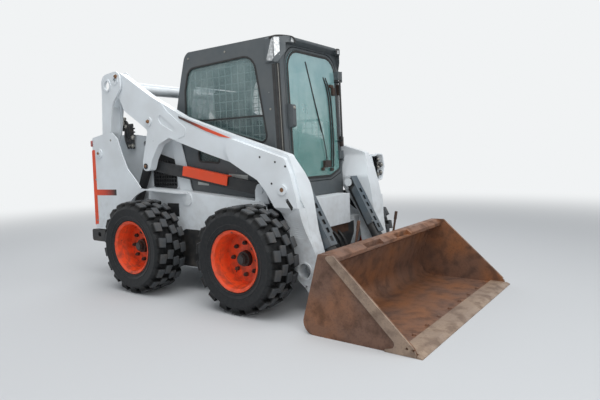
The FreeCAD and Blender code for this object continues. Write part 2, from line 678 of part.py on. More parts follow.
def arm():
    body = side_prism(arm_outline(), ARM_IN, ARM_OUT).common(block(-700, KNEE_REAR, 0, ARM_OUT, 0, 2100))
    body = body.cut(side_prism(thin_beam_outline(), ARM_OUT - ARM_STEP, ARM_OUT + 1))
    leg = side_prism(arm_outline(), LEG_IN - 1, ARM_OUT)
    body = join(body, leg.common(front_prism(arm_front_section(), KNEE_REAR, 1900)))
    body = join(body, cross_bar(BUCKET_PIN, 60, LEG_IN, LEG_OUT),
                cross_bar(LEG_SOCKET, 66, LEG_IN, LEG_OUT + 8))
    pad = side_prism(pad_outline(), LEG_IN, PAD_OUT)
    slope = front_prism([(ARM_IN + 10, 1400), (ARM_IN + 10, 640), (LEG_OUT, 645), (PAD_OUT, 770),
                         (PAD_OUT, 1400)], 800, 1700)
    tyre_room = cross_bar((WHEELBASE, TYRE_RADIUS), TYRE_RADIUS + 14, LEG_OUT + 30, PAD_OUT + 1)
    body = join(body, pad.common(slope).cut(tyre_room))
    body = body.cut(cross_bar(LINK_HEAD, 26, ARM_IN - 1, ARM_OUT + 1))
    body = body.cut(cross_bar(CONTROL_REAR, PIN + FIT, ARM_IN - 1, ARM_OUT + 1))
    body = body.cut(cross_bar(LEG_SOCKET, 55, LEG_IN + 14, LEG_OUT + 9))
    body = body.cut(cross_bar((1587, 190), 9, LEG_IN + 60, LEG_OUT + 1))
    body = body.cut(cross_bar((1462, 900), 15, PAD_OUT - 40, PAD_OUT + 15))
    body = body.cut(side_prism([(1476, 824, 8), (1502, 840, 8), (1552, 774, 8), (1528, 756, 8)],
                               PAD_OUT - 30, PAD_OUT + 1))
    recess = side_prism([(78, 1500, 12), (112, 1526, 14), (292, 1404, 14), (268, 1372, 14), (112, 1446, 20)],
                        ARM_OUT - 8, ARM_OUT + 1)
    body = body.cut(recess)
    lift_boss = cross_bar(LIFT_EYE, 40, ARM_OUT, ARM_OUT + 12)
    lift_stub = cross_bar(LIFT_EYE, BIG_PIN, LIFT_Y + EYE_WIDTH / 2 + SIDE_GAP, ARM_IN)
    knee_boss = cross_tube((1462, 900), 38, 15, PAD_OUT - 30, PAD_OUT + 14)
    tilt_pin = cross_bar(TILT_BASE, PIN, TILT_Y - EYE_WIDTH / 2 - 14, LEG_IN)
    tilt_head = cross_bar(TILT_BASE, PIN + 10, TILT_Y - EYE_WIDTH / 2 - 24, TILT_Y - EYE_WIDTH / 2 - 12)
    foot_pin = cross_bar(BUCKET_PIN, BIG_PIN, LEG_IN - 43, LEG_IN)
    return join(body, lift_boss, lift_stub, knee_boss, tilt_pin, tilt_head, foot_pin)


def arm_cross_tubes():
    upper = cross_bar(CROSS_TUBE, 38, -ARM_IN, ARM_IN)
    lower = cross_bar(LOWER_TUBE, 38, -LEG_IN + SEAT, LEG_IN - SEAT)
    return Part.makeCompound([upper, lower])


def coupler_guard():
    """Open-fronted box on the left knee that shields the quick couplers."""
    outer = side_prism([(1400, 900, 30), (1556, 884, 30), (1500, 1128, 30), (1400, 1112, 30)],
                       PAD_OUT - 1, PAD_OUT + COUPLER_BOX)
    inner = side_prism([(1410, 911, 22), (1600, 892), (1560, 1128), (1490, 1117), (1410, 1102, 22)],
                       PAD_OUT, PAD_OUT + COUPLER_BOX - 8)
    return outer.cut(inner)


def couplers():
    """Quick couplers of the auxiliary hydraulics in their box on the left knee."""
    y = PAD_OUT + 26
    pieces = [block(1412, 1428, PAD_OUT + SEAT, PAD_OUT + 46, 936, 1092)]
    for z in COUPLER_HEIGHTS:
        pieces.append(Part.makeCylinder(21, 50, Vector(1424, y, z), Vector(1, 0, 0)))
        pieces.append(Part.makeCylinder(17, 90, Vector(1424, y, z), Vector(1, 0, 0)))
    return join(*pieces)


def control_link():
    size = math.dist(CONTROL_REAR, CONTROL_FRONT)
    bar = block(0, size, CONTROL_IN, CONTROL_OUT, -48, 48)
    bar = bar.cut(block(60, size - 60, CONTROL_IN - 1, CONTROL_OUT - 12, -40, 40))
    turn = math.degrees(math.atan2(CONTROL_FRONT[1] - CONTROL_REAR[1], CONTROL_FRONT[0] - CONTROL_REAR[0]))
    bar.rotate(ORIGIN, ACROSS, -turn)
    bar.translate(Vector(CONTROL_REAR[0], 0, CONTROL_REAR[1]))
    rear = cross_bar(CONTROL_REAR, 46, CONTROL_IN, CONTROL_OUT)
    front = cross_bar(CONTROL_FRONT, 48, CONTROL_IN, CONTROL_OUT)
    pin = cross_bar(CONTROL_REAR, PIN, CONTROL_OUT, ARM_OUT + 8)
    link = join(bar, rear, front, pin)
    return link.cut(cross_bar(CONTROL_FRONT, PIN + FIT, CONTROL_IN - 1, CONTROL_OUT + 1))


def arm_support():
    """Folded channel stowed over the right control link."""
    outline = [(CONTROL_IN + 2, 48.3), (CONTROL_IN + 2, 56), (CONTROL_OUT + 12, 56, 8),
               (CONTROL_OUT + 16, -26), (CONTROL_OUT + 10, -26), (CONTROL_OUT + 4, 48.3)]
    channel = front_prism(outline, 395, 925)
    turn = math.degrees(math.atan2(CONTROL_FRONT[1] - CONTROL_REAR[1], CONTROL_FRONT[0] - CONTROL_REAR[0]))
    channel.rotate(ORIGIN, ACROSS, -turn)
    channel.translate(Vector(CONTROL_REAR[0], 0, CONTROL_REAR[1]))
    return mirrored(channel)


def cylinder_barrel(base, eye, y, radius, eye_radius, rod_radius, length):
    """Barrel with its base eye, bored for the rod, laid from base towards eye."""
    turn = math.degrees(math.atan2(eye[1] - base[1], eye[0] - base[0]))
    tube = Part.makeCylinder(radius, length - 50, Vector(50, y, 0), Vector(1, 0, 0))
    gland = Part.makeCylinder(radius + 3, 40, Vector(length - 40, y, 0), Vector(1, 0, 0))
    eye_ring = cross_bar((0, 0), eye_radius, y - EYE_WIDTH / 2, y + EYE_WIDTH / 2)
    neck = block(0, 55, y - EYE_WIDTH / 2, y + EYE_WIDTH / 2, -radius * 0.7, radius * 0.7)
    barrel = join(tube, gland, eye_ring, neck)
    bore = Part.makeCylinder(rod_radius + FIT, length, Vector(CYLINDER_BORE_FLOOR, y, 0), Vector(1, 0, 0))
    pin_hole = cross_bar((0, 0), PIN + FIT, y - radius, y + radius)
    barrel = barrel.cut(bore).cut(pin_hole)
    barrel.rotate(ORIGIN, ACROSS, -turn)
    barrel.translate(Vector(base[0], 0, base[1]))
    return barrel


def cylinder_rod(base, eye, y, rod_radius, eye_radius, inner_end):
    turn = math.degrees(math.atan2(eye[1] - base[1], eye[0] - base[0]))
    reach = math.dist(base, eye)
    shaft = Part.makeCylinder(rod_radius, reach - 10 - inner_end, Vector(inner_end, y, 0), Vector(1, 0, 0))
    ring = cross_bar((reach, 0), eye_radius, y - EYE_WIDTH / 2, y + EYE_WIDTH / 2)
    piece = join(shaft, ring).cut(cross_bar((reach, 0), PIN, y - 60, y + 60))
    piece.rotate(ORIGIN, ACROSS, -turn)
    piece.translate(Vector(base[0], 0, base[1]))
    return piece


def tilt_guard():
    """Folded step plate that covers the front of a tilt cylinder's barrel."""
    turn = math.degrees(math.atan2(TILT_EYE[1] - TILT_BASE[1], TILT_EYE[0] - TILT_BASE[0]))
    inside = TILT_BARREL + SEAT
    outside = inside + GUARD_PLATE
    front = TILT_BARREL + 4
    low = TILT_BARREL_LENGTH - 50
    cover = Part.makeBox(low + 30, 2 * outside, GUARD_PLATE, Vector(-30, -outside, front))
    outer = side_prism([(75, 0, 20), (low, -10), (low, front + GUARD_PLATE), (55, front + GUARD_PLATE)],
                       inside, outside)
    short = low - LEVER_ROOM
    inner = side_prism([(75, 0, 20), (short, -10), (short, front + GUARD_PLATE), (55, front + GUARD_PLATE)],
                       -outside, -inside)
    narrow = block(short, low + 1, -outside - 1, SIDE_GAP - inside, front - 1, front + 2 * GUARD_PLATE)
    guard = join(cover, outer, inner).cut(narrow)
    for row in range(6):
        guard = guard.cut(block(90 + row * 68, 130 + row * 68, -18, 18, front - 1, front + 2 * GUARD_PLATE))
    guard.rotate(ORIGIN, ACROSS, -turn)
    guard.translate(Vector(TILT_BASE[0], TILT_Y, TILT_BASE[1]))
    return guard


# Quick attach and bucket

def quick_attach():
    """Frame that carries the bucket: face plates, lugs and cross members."""
    def slab(t0, t1, d0, d1, y0, y1):
        corners = [behind_bucket(*place) for place in ((t0, d0), (t1, d0), (t1, d1), (t0, d1))]
        return side_prism(corners, y0, y1)

    face = slab(70, 470, 14 + SEAT, 30, LEVER_Y - 21, LEG_OUT + 4)
    face = face.cut(slab(215, 405, 10, 40, TILT_Y - 52, TILT_Y + 52))
    lug_outline = [behind_bucket(*place) for place in
                   ((90, 29), (95, 195), (157, 219), (291, 133), (312, 80), (214, 29))]
    ear_outline = ((110, 29), (240, 115), (312, 80), (214, 29))
    hinge_lug = side_prism(lug_outline, LEG_IN - 40, LEG_IN - SIDE_GAP)
    hinge_lug = hinge_lug.fuse(cross_bar(BUCKET_PIN, 50, LEG_IN - 40, LEG_IN - SIDE_GAP))
    side = join(face, hinge_lug)
    for y0, y1 in ((LEG_IN - 40, LEG_IN - SIDE_GAP), (TILT_Y - 54, TILT_Y - 30)):
        ear = side_prism([behind_bucket(*place) for place in ear_outline], y0, y1)
        side = join(side, ear, cross_bar(TILT_EYE, 40, y0, y1))
    side = side.cut(cross_bar(BUCKET_PIN, BIG_PIN + FIT, TILT_Y - 72, LEG_IN))
    side = side.cut(cross_bar(TILT_EYE, 18, TILT_Y - 72, LEG_IN))
    top = slab(400, 460, 30, 82, -LEVER_Y + 13, LEVER_Y - 13)
    low = slab(90, 130, 30, 66, -TILT_Y + 54, TILT_Y - 54)
    return join(side, mirrored(side), top, low)


def attach_lever():
    """Hand lever of a locking wedge."""
    foot = behind_bucket(440, 60)
    base = Vector(foot[0], LEVER_Y, foot[1])
    top = Vector(BUCKET_HEEL + 99, LEVER_Y, 655)
    lever = rod(base, top, 9)
    grip = rod(base + (top - base) * 0.72, top + Vector(0, 0, 4), 12)
    hub = cross_bar(foot, 20, LEVER_Y - 13 + SEAT, LEVER_Y + 12)
    return join(lever, grip, hub, Part.makeSphere(12, base))


def bucket_shell():
    """Floor, curved back, top box lip and two side plates."""
    lean = math.tan(math.radians(BUCKET_LEAN))
    top_x = BUCKET_HEEL + BUCKET_TOP * lean
    wall = BUCKET_PLATE / math.cos(math.radians(BUCKET_LEAN))
    profile = [(EDGE_REAR, 0), (BUCKET_HEEL, 0, 130), (top_x, BUCKET_TOP, 8),
               (BUCKET_LIP - 45, BUCKET_TOP, 8), (BUCKET_LIP, BUCKET_TOP - 28, 8),
               (BUCKET_LIP, BUCKET_TOP - 52), (BUCKET_HEEL + 425 * lean + wall, 425, 20),
               (BUCKET_HEEL + BUCKET_PLATE * lean + wall, BUCKET_PLATE, 118), (EDGE_REAR, BUCKET_PLATE)]
    inner_half = BUCKET_HALF - BUCKET_PLATE
    sheet = side_prism(profile, -inner_half + BUCKET_PLATE, inner_half - BUCKET_PLATE)
    for y0, y1 in STEP_POCKETS:
        sheet = sheet.cut(block(BUCKET_LIP - 36, BUCKET_LIP + 1, y0, y1, BUCKET_TOP - 40, BUCKET_TOP + 1))
    side = side_prism([(BUCKET_HEEL, 0, HEEL_RADIUS), (top_x, BUCKET_TOP, 10),
                       (BUCKET_LIP + 15, BUCKET_TOP + 1, 25), (CUTTING_TIP - 54, 50, 45),
                       (CUTTING_TIP - 34, 0)], inner_half - BUCKET_PLATE, inner_half)
    return join(sheet, side, mirrored(side))


def side_cutter():
    """Wear strip bolted outside the side plate's sloping edge."""
    tip = CUTTING_TIP - 34
    strip = side_prism([(BUCKET_LIP + 17, BUCKET_TOP + 1, 20), (BUCKET_LIP - 55, BUCKET_TOP - 7, 15),
                        (tip - 110, 40, 30), (tip - 200, 14), (tip - 200, 2), (tip, 2), (tip - 18, 52, 45)],
                       BUCKET_HALF - BUCKET_PLATE, BUCKET_HALF)
    for place in ((tip - 60, 46), (tip - 22, 42)):
        strip = strip.cut(cross_bar(place, 8, BUCKET_HALF - BUCKET_PLATE - 1, BUCKET_HALF + 1))
    return strip


def cutting_edge():
    """Bevelled blade along the floor's front."""
    half = BUCKET_HALF - 2 * BUCKET_PLATE
    blade = side_prism([(EDGE_REAR, 0), (CUTTING_TIP, 0), (CUTTING_TIP, 5), (CUTTING_TIP - 40, EDGE_THICK),
                        (EDGE_REAR, EDGE_THICK)], -half, half)
    nose = side_prism([(CUTTING_TIP - 34, 0), (CUTTING_TIP, 0), (CUTTING_TIP, 5), (CUTTING_TIP - 32, 18)],
                      half, BUCKET_HALF)
    return join(blade, nose, mirrored(nose))


def bucket_mount():
    """Flat plate on the bucket's back with a hooked top edge over the quick attach."""
    plate = side_prism([behind_bucket(135, 0), behind_bucket(500, 0), behind_bucket(500, 46),
                        behind_bucket(476, 46), behind_bucket(476, 14), behind_bucket(135, 14)],
                       -LEG_OUT - 44, LEG_OUT + 44)
    return plate


# Wheels, drawn about the axle with the wheel's outside towards +Y

def flat_ring(section, flats):
    """Ring about Y through (radius, y) section points, round enough as a run of flats."""
    turn = 2 * math.pi / flats

    def corner(point, step):
        return Vector(point[0] * math.sin(step * turn), point[1], point[0] * math.cos(step * turn))

    faces = []
    for step in range(flats):
        for index, point in enumerate(section):
            after = section[(index + 1) % len(section)]
            loop = [corner(point, step), corner(point, step + 1),
                    corner(after, step + 1), corner(after, step)]
            faces.append(Part.Face(Part.makePolygon(loop + loop[:1])))
    return Part.makeSolid(Part.makeShell(faces))


def tyre_lug():
    """One bar of the tread, skewed towards the shoulder and sloping down to the sidewall."""
    half = TYRE_WIDTH / 2
    base = TYRE_RADIUS - CARCASS_DEPTH - 30
    length = LUG_LENGTH / 2
    plan = plan_prism([(-length, 5), (length, 5), (length + LUG_SKEW, half + 4),
                       (-length + LUG_SKEW, half + 4)], base, TYRE_RADIUS)
    side = front_prism([(4, base), (4, LUG_TOP), (half - 26, LUG_TOP), (half + 2, LUG_TOP - 40),
                        (half - 22, base)], -100, 100)
    return plan.common(side)


def tyre():
    half = TYRE_WIDTH / 2
    flange = half - 16
    crown = TYRE_RADIUS - CARCASS_DEPTH
    section = [(RIM_RADIUS - 12.6, flange - 13.2), (RIM_RADIUS + 4, flange - 9), (RIM_RADIUS + 4, flange - 1),
               (330, half - 1), (crown, half - 34)]
    carcass = flat_ring(section + [(r, -y) for r, y in reversed(section)], TYRE_FLATS)
    lug = tyre_lug()
    pitch = 360 / LUGS_PER_ROW
    lugs = []
    for index in range(LUGS_PER_ROW):
        outer = lug.copy()
        outer.rotate(ORIGIN, ACROSS, index * pitch)
        inner = lug.mirror(ORIGIN, ACROSS)
        inner.rotate(ORIGIN, ACROSS, (index + 0.5) * pitch)
        lugs += [outer, inner]
    return carcass.multiFuse(lugs)


def rim():
    """Deep dished wheel rim with its disc bored for the hub and the nuts."""
    flange = TYRE_WIDTH / 2 - 16
    disc = flange - RIM_DISC_IN
    drum = RIM_RADIUS - 42
    outside = [(RIM_RADIUS, flange), (RIM_RADIUS, flange - 8), (RIM_RADIUS - 14.5, flange - RIM_LIP),
               (RIM_RADIUS - 34, flange - 90)]
    inside = [(drum, flange - 92), (RIM_RADIUS - 24, flange - RIM_LIP), (RIM_RADIUS - 8, flange)]
    bored = [(drum, disc - 6), (HUB_CAP + 4, disc - 6), (HUB_CAP + 4, disc + 6), (drum, disc + 6)]
    loop = [Vector(0, y, r) for r, y in outside]
    loop += [Vector(0, -y, r) for r, y in reversed(outside)]
    loop += [Vector(0, -y, r) for r, y in reversed(inside)]
    loop += [Vector(0, y, r) for r, y in bored + inside]
    return Part.Face(Part.makePolygon(loop + loop[:1])).revolve(ORIGIN, ACROSS, 360)


def hub():
    """Hub with flange behind the disc, stepped cap in front and the wheel nuts."""
    flange = TYRE_WIDTH / 2 - 16
    disc = flange - RIM_DISC_IN
    inner = -TYRE_WIDTH / 2 + 92 + AXLE_GAP
    body = Part.makeCylinder(HUB_RADIUS, disc - 6 - inner, Vector(0, inner, 0), ACROSS)
    cap = Part.makeCylinder(HUB_CAP, 46, Vector(0, disc - 6, 0), ACROSS)
    step = Part.makeCylinder(HUB_CAP - 16, 28, Vector(0, disc + 38, 0), ACROSS)
    whole = join(body, cap, step)
    bore = Part.makeCylinder(SPINDLE + FIT, SPINDLE_REACH + 1, Vector(0, inner - 1, 0), ACROSS)
    pieces = [whole.cut(bore)]
    for index in range(WHEEL_NUTS):
        angle = math.radians(index * 360 / WHEEL_NUTS)
        middle = (NUT_CIRCLE * math.cos(angle), NUT_CIRCLE * math.sin(angle))
        corners = [(middle[0] + NUT_SIZE * math.cos(math.pi * side / 3),
                    middle[1] + NUT_SIZE * math.sin(math.pi * side / 3)) for side in range(6)]
        pieces.append(side_prism(corners, disc + 6, disc + 30))
    return Part.makeCompound(pieces)


def wheel_at(shape, x, left):
    placed = shape.copy()
    placed.translate(Vector(x, TRACK / 2, TYRE_RADIUS))
    return placed if left else mirrored(placed)


def build():
    os.makedirs("parts", exist_ok=True)
    save("main_frame", main_frame())
    upright = tower()
    save("rear_towers", Part.makeCompound([join(upright, *tailgate_pins()), mirrored(upright)]))
    save("tower_corner_strips", pair(tower_stripe()))
    save("side_grilles", pair(side_grille()))
    save("rear_bumper", rear_bumper())
    save("axle_housings", Part.makeCompound([pair(axle(0)), pair(axle(WHEELBASE))]))
    save("engine_block", engine())
    save("engine_cover", top_grille())
    save("tail_lamps", pair(rear_lamp()))
    save("tailgate", tailgate())
    save("tailgate_louvres", tailgate_louvres())
    save("front_panel", front_panel())

    roof, left, right, rear, front, floor = cab_pieces()
    save("cab_roof", roof)
    save("cab_sides", Part.makeCompound([left, right]))
    save("cab_rear_wall", rear)
    save("cab_front_frame", join(front, *door_hinge_pins()))
    save("cab_floor", join(floor, foot_rest()))
    y0 = CAB_HALF - 16
    save("side_window_glass", pair(Part.makeCompound([
        window_pane(side_window(SEAT), y0, y0 + GLASS), window_pane(lower_window(SEAT), y0, y0 + GLASS)])))
    save("side_window_screens", pair(window_screen()))
    save("rear_window_glass", front_prism(rear_window(SEAT), 176, 182))
    save("head_lamps", pair(head_lamp()))
    save("roof_visor", visor())
    save("door_frame", door_frame())
    save("door_glass", door_slab(door_outline(-46 - SEAT), 14, 14 + GLASS))
    save("door_grab_bar", grab_bar())
    save("seat_base", seat_base())
    save("seat_cushion", seat_cushion())
    save("seat_backrest", seat_back())
    save("control_levers", pair(control_lever()))

    save("rear_links", rear_links())
    side_arm = arm()
    save("lift_arm_left", join(side_arm, coupler_guard()))
    save("lift_arm_right", mirrored(side_arm))
    save("arm_cross_tubes", arm_cross_tubes())
    save("hydraulic_couplers", couplers())
    save("control_links", pair(control_link()))
    save("arm_support", arm_support())
    save("lift_barrels", pair(cylinder_barrel(LIFT_BASE, LIFT_EYE, LIFT_Y, LIFT_BARREL, 40, LIFT_ROD,
                                              LIFT_BARREL_LENGTH)))
    save("lift_rods", pair(cylinder_rod(LIFT_BASE, LIFT_EYE, LIFT_Y, LIFT_ROD, 40, 75)))
    save("tilt_barrels", pair(cylinder_barrel(TILT_BASE, TILT_EYE, TILT_Y, TILT_BARREL, 38, TILT_ROD,
                                              TILT_BARREL_LENGTH)))
    save("tilt_cylinder_guards", pair(tilt_guard()))
    save("tilt_rods", pair(cylinder_rod(TILT_BASE, TILT_EYE, TILT_Y, TILT_ROD, 36, 140)))

    save("quick_attach", quick_attach())
    save("attach_levers", pair(attach_lever()))
    save("bucket_shell", join(bucket_shell(), bucket_mount()))
    save("side_cutters", pair(side_cutter()))
    save("cutting_edge", cutting_edge())

    shapes = {"tyre": tyre(), "rim": rim(), "hub": hub()}
    corners = (("front_left", WHEELBASE, True), ("front_right", WHEELBASE, False),
               ("rear_left", 0, True), ("rear_right", 0, False))
    for corner, x, is_left in corners:
        for piece, shape in shapes.items():
            save(piece + "_" + corner, wheel_at(shape, x, is_left))


build()
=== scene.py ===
# %% [markdown]
# # Skid steer loader: the looks around the CAD frame
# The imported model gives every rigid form. This lesson dresses it: paint, rubber, glass and
# worn steel, then the small pieces that the model leaves out, such as bolts and seals.

import math

import bmesh
import bpy
from mathutils import Matrix, Vector


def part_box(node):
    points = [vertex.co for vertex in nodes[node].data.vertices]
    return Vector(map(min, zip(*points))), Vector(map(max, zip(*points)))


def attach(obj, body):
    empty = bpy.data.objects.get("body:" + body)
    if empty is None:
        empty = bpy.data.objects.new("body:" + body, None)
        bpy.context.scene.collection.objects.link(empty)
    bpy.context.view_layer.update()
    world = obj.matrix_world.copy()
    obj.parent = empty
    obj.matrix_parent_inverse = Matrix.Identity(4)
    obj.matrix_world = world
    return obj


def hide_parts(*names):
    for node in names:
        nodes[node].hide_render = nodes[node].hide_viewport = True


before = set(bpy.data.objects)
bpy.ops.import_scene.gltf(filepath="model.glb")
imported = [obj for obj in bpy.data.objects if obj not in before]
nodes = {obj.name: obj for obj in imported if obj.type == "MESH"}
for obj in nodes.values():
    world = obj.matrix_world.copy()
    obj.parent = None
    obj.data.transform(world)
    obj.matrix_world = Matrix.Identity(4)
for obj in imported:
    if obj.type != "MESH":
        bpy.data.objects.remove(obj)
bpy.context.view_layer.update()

# %% [markdown]
# The machine was drawn in millimetres with x = 0 at the rear axle. Blender works in metres
# with x = 0 at mid-length, so one function turns a drawing point into a Blender point.

# %% Drawing points
MID_LENGTH = 837


def at(x, y, z):
    return Vector(((x - MID_LENGTH) / 1000, y / 1000, z / 1000))


print("rear axle centre:", [round(c, 3) for c in at(0, 0, 398)])

# %% [markdown]
# A material is a small graph. One function adds a node, sets it and links it. A second turns
# an sRGB hex colour, as a paint chart gives it, into the linear values that nodes expect.
# Pattern sizes are real: a noise of 40 mm grain has a scale of 1000 / 40 on metre coordinates.

# %% Colour and node helpers
def linear(hex_colour):
    parts = [int(hex_colour[i:i + 2], 16) / 255 for i in (1, 3, 5)]
    return tuple(c / 12.92 if c <= 0.04045 else ((c + 0.055) / 1.055) ** 2.4 for c in parts) + (1.0,)


def add(material, kind, inputs, **settings):
    node = material.node_tree.nodes.new("ShaderNode" + kind)
    for name, value in settings.items():
        setattr(node, name, value)
    for socket, value in inputs.items():
        if isinstance(value, bpy.types.NodeSocket):
            material.node_tree.links.new(value, node.inputs[socket])
        else:
            node.inputs[socket].default_value = value
    return node


def per_mm(size):
    return 1000 / size


def start(name):
    """A new material with its shader, and the coordinates of the piece at rest."""
    material = bpy.data.materials.new(name)
    material.use_nodes = True
    shader = material.node_tree.nodes["Principled BSDF"]
    place = add(material, "TexCoord", {}).outputs["Object"]
    return material, shader, place


def wire(material, output, socket):
    material.node_tree.links.new(output, socket)


def blend_colours(material, factor, first, second):
    """first where factor is 0, second where it is 1; both are sockets or colours."""
    node = add(material, "Mix", {0: factor, 6: first, 7: second}, data_type="RGBA")
    return node.outputs[2]


def speckle(material, place, grain, low, high, detail=3.0):
    """Noise of a real grain in millimetres, pulled apart between two levels."""
    noise = add(material, "TexNoise", {"Vector": place, "Scale": per_mm(grain), "Detail": detail})
    return add(material, "MapRange", {"Value": noise.outputs["Fac"], "From Min": low, "From Max": high}
               ).outputs["Result"]


def times(material, first, second):
    return add(material, "Math", {0: first, 1: second}, operation="MULTIPLY").outputs[0]


print("orange in linear values:", [round(c, 3) for c in linear("#E9542B")])

# %% [markdown]
# ## Sprayed machine paint
# Frame, arms and cab are welded steel, sprayed and baked. The eye sees an even colour with a
# soft gloss, a film of dust that thickens towards the ground, and small dark stone chips.
# The chips are drawn about 5 mm wide, coarser than most real ones, so that they show.

# %% Paint
def height_mask(material, place, low, high):
    """1 at a low height in millimetres, 0 at a high one."""
    z = add(material, "SeparateXYZ", {0: place}).outputs["Z"]
    return add(material, "MapRange", {"Value": z, "From Min": high / 1000, "From Max": low / 1000}
               ).outputs["Result"]


def sprayed_paint(name, colour, dust, roughness, dust_amount=0.5, chip_colour="#3A3432", chips=0.045):
    material, shader, place = start(name)
    shade = speckle(material, place, 260, 0.35, 0.7)
    base = blend_colours(material, times(material, shade, 0.16), linear(colour), linear(dust))
    film = speckle(material, place, 55, 0.42, 0.72)
    low = height_mask(material, place, 150, 900)
    settled = times(material, times(material, film, low), dust_amount)
    base = blend_colours(material, settled, base, linear(dust))
    cells = add(material, "TexVoronoi", {"Vector": place, "Scale": per_mm(120)})
    chip = add(material, "Math", {0: cells.outputs["Distance"], 1: chips}, operation="LESS_THAN")
    base = blend_colours(material, chip.outputs[0], base, linear(chip_colour))
    wire(material, base, shader.inputs["Base Color"])
    rough = add(material, "MapRange", {"Value": film, "To Min": roughness, "To Max": roughness + 0.22})
    wire(material, rough.outputs["Result"], shader.inputs["Roughness"])
    ripple = add(material, "TexNoise", {"Vector": place, "Scale": per_mm(14), "Detail": 2.0})
    bump = add(material, "Bump", {"Height": ripple.outputs["Fac"], "Strength": 0.04, "Distance": 0.001})
    wire(material, bump.outputs["Normal"], shader.inputs["Normal"])
    return material


white_paint = sprayed_paint("sprayed_paint_white", "#E2E8EC", "#8B8177", 0.32)
cab_paint = sprayed_paint("sprayed_paint_cab_grey", "#4C5357", "#7B766F", 0.42, 0.3, "#9A9C9C", 0.03)
slate_paint = sprayed_paint("sprayed_paint_slate", "#4C5861", "#8A8278", 0.4, 0.4, "#A5A29C", 0.04)
black_paint = sprayed_paint("sprayed_paint_black", "#232629", "#5E574F", 0.45, 0.5, "#5A524B", 0.04)
orange_paint = sprayed_paint("sprayed_paint_orange", "#EE4F24", "#5C3A2C", 0.36, 0.8, "#3E2A22", 0.07)
print("paints made:", len([m for m in bpy.data.materials if m.name.startswith("sprayed")]))

# %% [markdown]
# ## Worn bucket steel
# The bucket lost its paint long ago: hot-rolled plate with a brown rust skin, orange where
# water stood on the floor and dark in the corners. Rust is an oxide, so it is not metallic.
# Three noises of 350, 90 and 12 mm stand for stains, blotches and pitting.

# %% Rusty plate
def rusty_plate(name, brown, dark, orange, wet):
    material, shader, place = start(name)
    stains = speckle(material, place, 350, 0.4, 0.62, 5.0)
    blotches = speckle(material, place, 90, 0.45, 0.65, 6.0)
    pits = speckle(material, place, 12, 0.5, 0.75, 2.0)
    base = blend_colours(material, stains, linear(brown), linear(orange))
    base = blend_colours(material, times(material, blotches, 0.55), base, linear(dark))
    base = blend_colours(material, times(material, pits, 0.4), base, linear(dark))
    wire(material, base, shader.inputs["Base Color"])
    rough = add(material, "MapRange", {"Value": blotches, "To Min": 0.75 - wet, "To Max": 0.8})
    wire(material, rough.outputs["Result"], shader.inputs["Roughness"])
    bump = add(material, "Bump", {"Height": pits, "Strength": 0.35, "Distance": 0.002})
    wire(material, bump.outputs["Normal"], shader.inputs["Normal"])
    return material


bucket_rust = rusty_plate("rusted_hot_rolled_plate", "#6E5040", "#33221A", "#865839", 0.25)
worn_steel = rusty_plate("worn_plate_edge", "#8E7A6A", "#54433A", "#9C8672", 0.3)

lever_rust = rusty_plate("rusted_forged_bar", "#4E382D", "#2A1F1A", "#6E4A33", 0.1)
hub_iron = rusty_plate("rusted_cast_iron", "#332C29", "#1C1917", "#4E382B", 0.15)
pin_rust = rusty_plate("rusted_pin_head", "#7A5B45", "#43301F", "#94663F", 0.1)
caked_mud = rusty_plate("dried_mud", "#5B4635", "#33281F", "#6E5440", 0.0)
print("rust made")

# %% [markdown]
# ## Tyre rubber, plastics, glass and bright metal
# Carbon black makes tyre rubber a warm dark grey. Dried mud, wear and a painted highlight lighten the
# tread tops, and painted shade darkens the gaps between blocks. Moulded
# plastics get a fine grain. The glass is tinted green: it lets the light through by its alpha,
# so the cab behind it stays lit, and its clear coat gives the reflections. A paler sky reflection
# is painted into its colour towards its top.

# %% Other finishes
def moulded(name, colour, dust, roughness, grain, dust_amount=0.4, strength=0.2):
    material, shader, place = start(name)
    film = speckle(material, place, 45, 0.42, 0.7, 5.0)
    base = blend_colours(material, times(material, film, dust_amount), linear(colour), linear(dust))
    wire(material, base, shader.inputs["Base Color"])
    shader.inputs["Roughness"].default_value = roughness
    fine = add(material, "TexNoise", {"Vector": place, "Scale": per_mm(grain), "Detail": 2.0})
    bump = add(material, "Bump", {"Height": fine.outputs["Fac"], "Strength": strength, "Distance": 0.001})
    wire(material, bump.outputs["Normal"], shader.inputs["Normal"])
    return material


def bright_metal(name, colour, roughness):
    material, shader, place = start(name)
    film = speckle(material, place, 30, 0.4, 0.75)
    wire(material, blend_colours(material, times(material, film, 0.35), linear(colour), linear("#77716A")),
         shader.inputs["Base Color"])
    shader.inputs["Metallic"].default_value = 1.0
    shader.inputs["Roughness"].default_value = roughness
    return material


def clear_pane(name, low_colour, painted_sky_colour, low_alpha, painted_sky_alpha, roughness):
    """Tinted glass with a painted sky reflection: its colour turns paler and its alpha rises towards its top."""
    material, shader, place = start(name)
    # Painted reflection: towards the top the pane turns paler and more opaque, standing for the sky it mirrors.
    height = height_mask(material, place, 1900, 1150)
    smear = speckle(material, place, 180, 0.35, 0.8)
    tint_and_painted_sky = blend_colours(material, height, linear(low_colour), linear(painted_sky_colour))
    tint_and_painted_sky = blend_colours(material, times(material, smear, 0.3), tint_and_painted_sky, linear("#C9D6D2"))
    wire(material, tint_and_painted_sky, shader.inputs["Base Color"])
    sky_alpha_ramp = add(material, "MapRange", {"Value": height, "To Min": low_alpha, "To Max": painted_sky_alpha})
    sky_and_smear_alpha = add(material, "Math", {0: sky_alpha_ramp.outputs["Result"], 1: times(material, smear, 0.12)},
                 operation="ADD")
    wire(material, sky_and_smear_alpha.outputs[0], shader.inputs["Alpha"])
    shader.inputs["Roughness"].default_value = roughness
    shader.inputs["Coat Weight"].default_value = 1.0
    shader.inputs["Coat Roughness"].default_value = 0.02
    return material


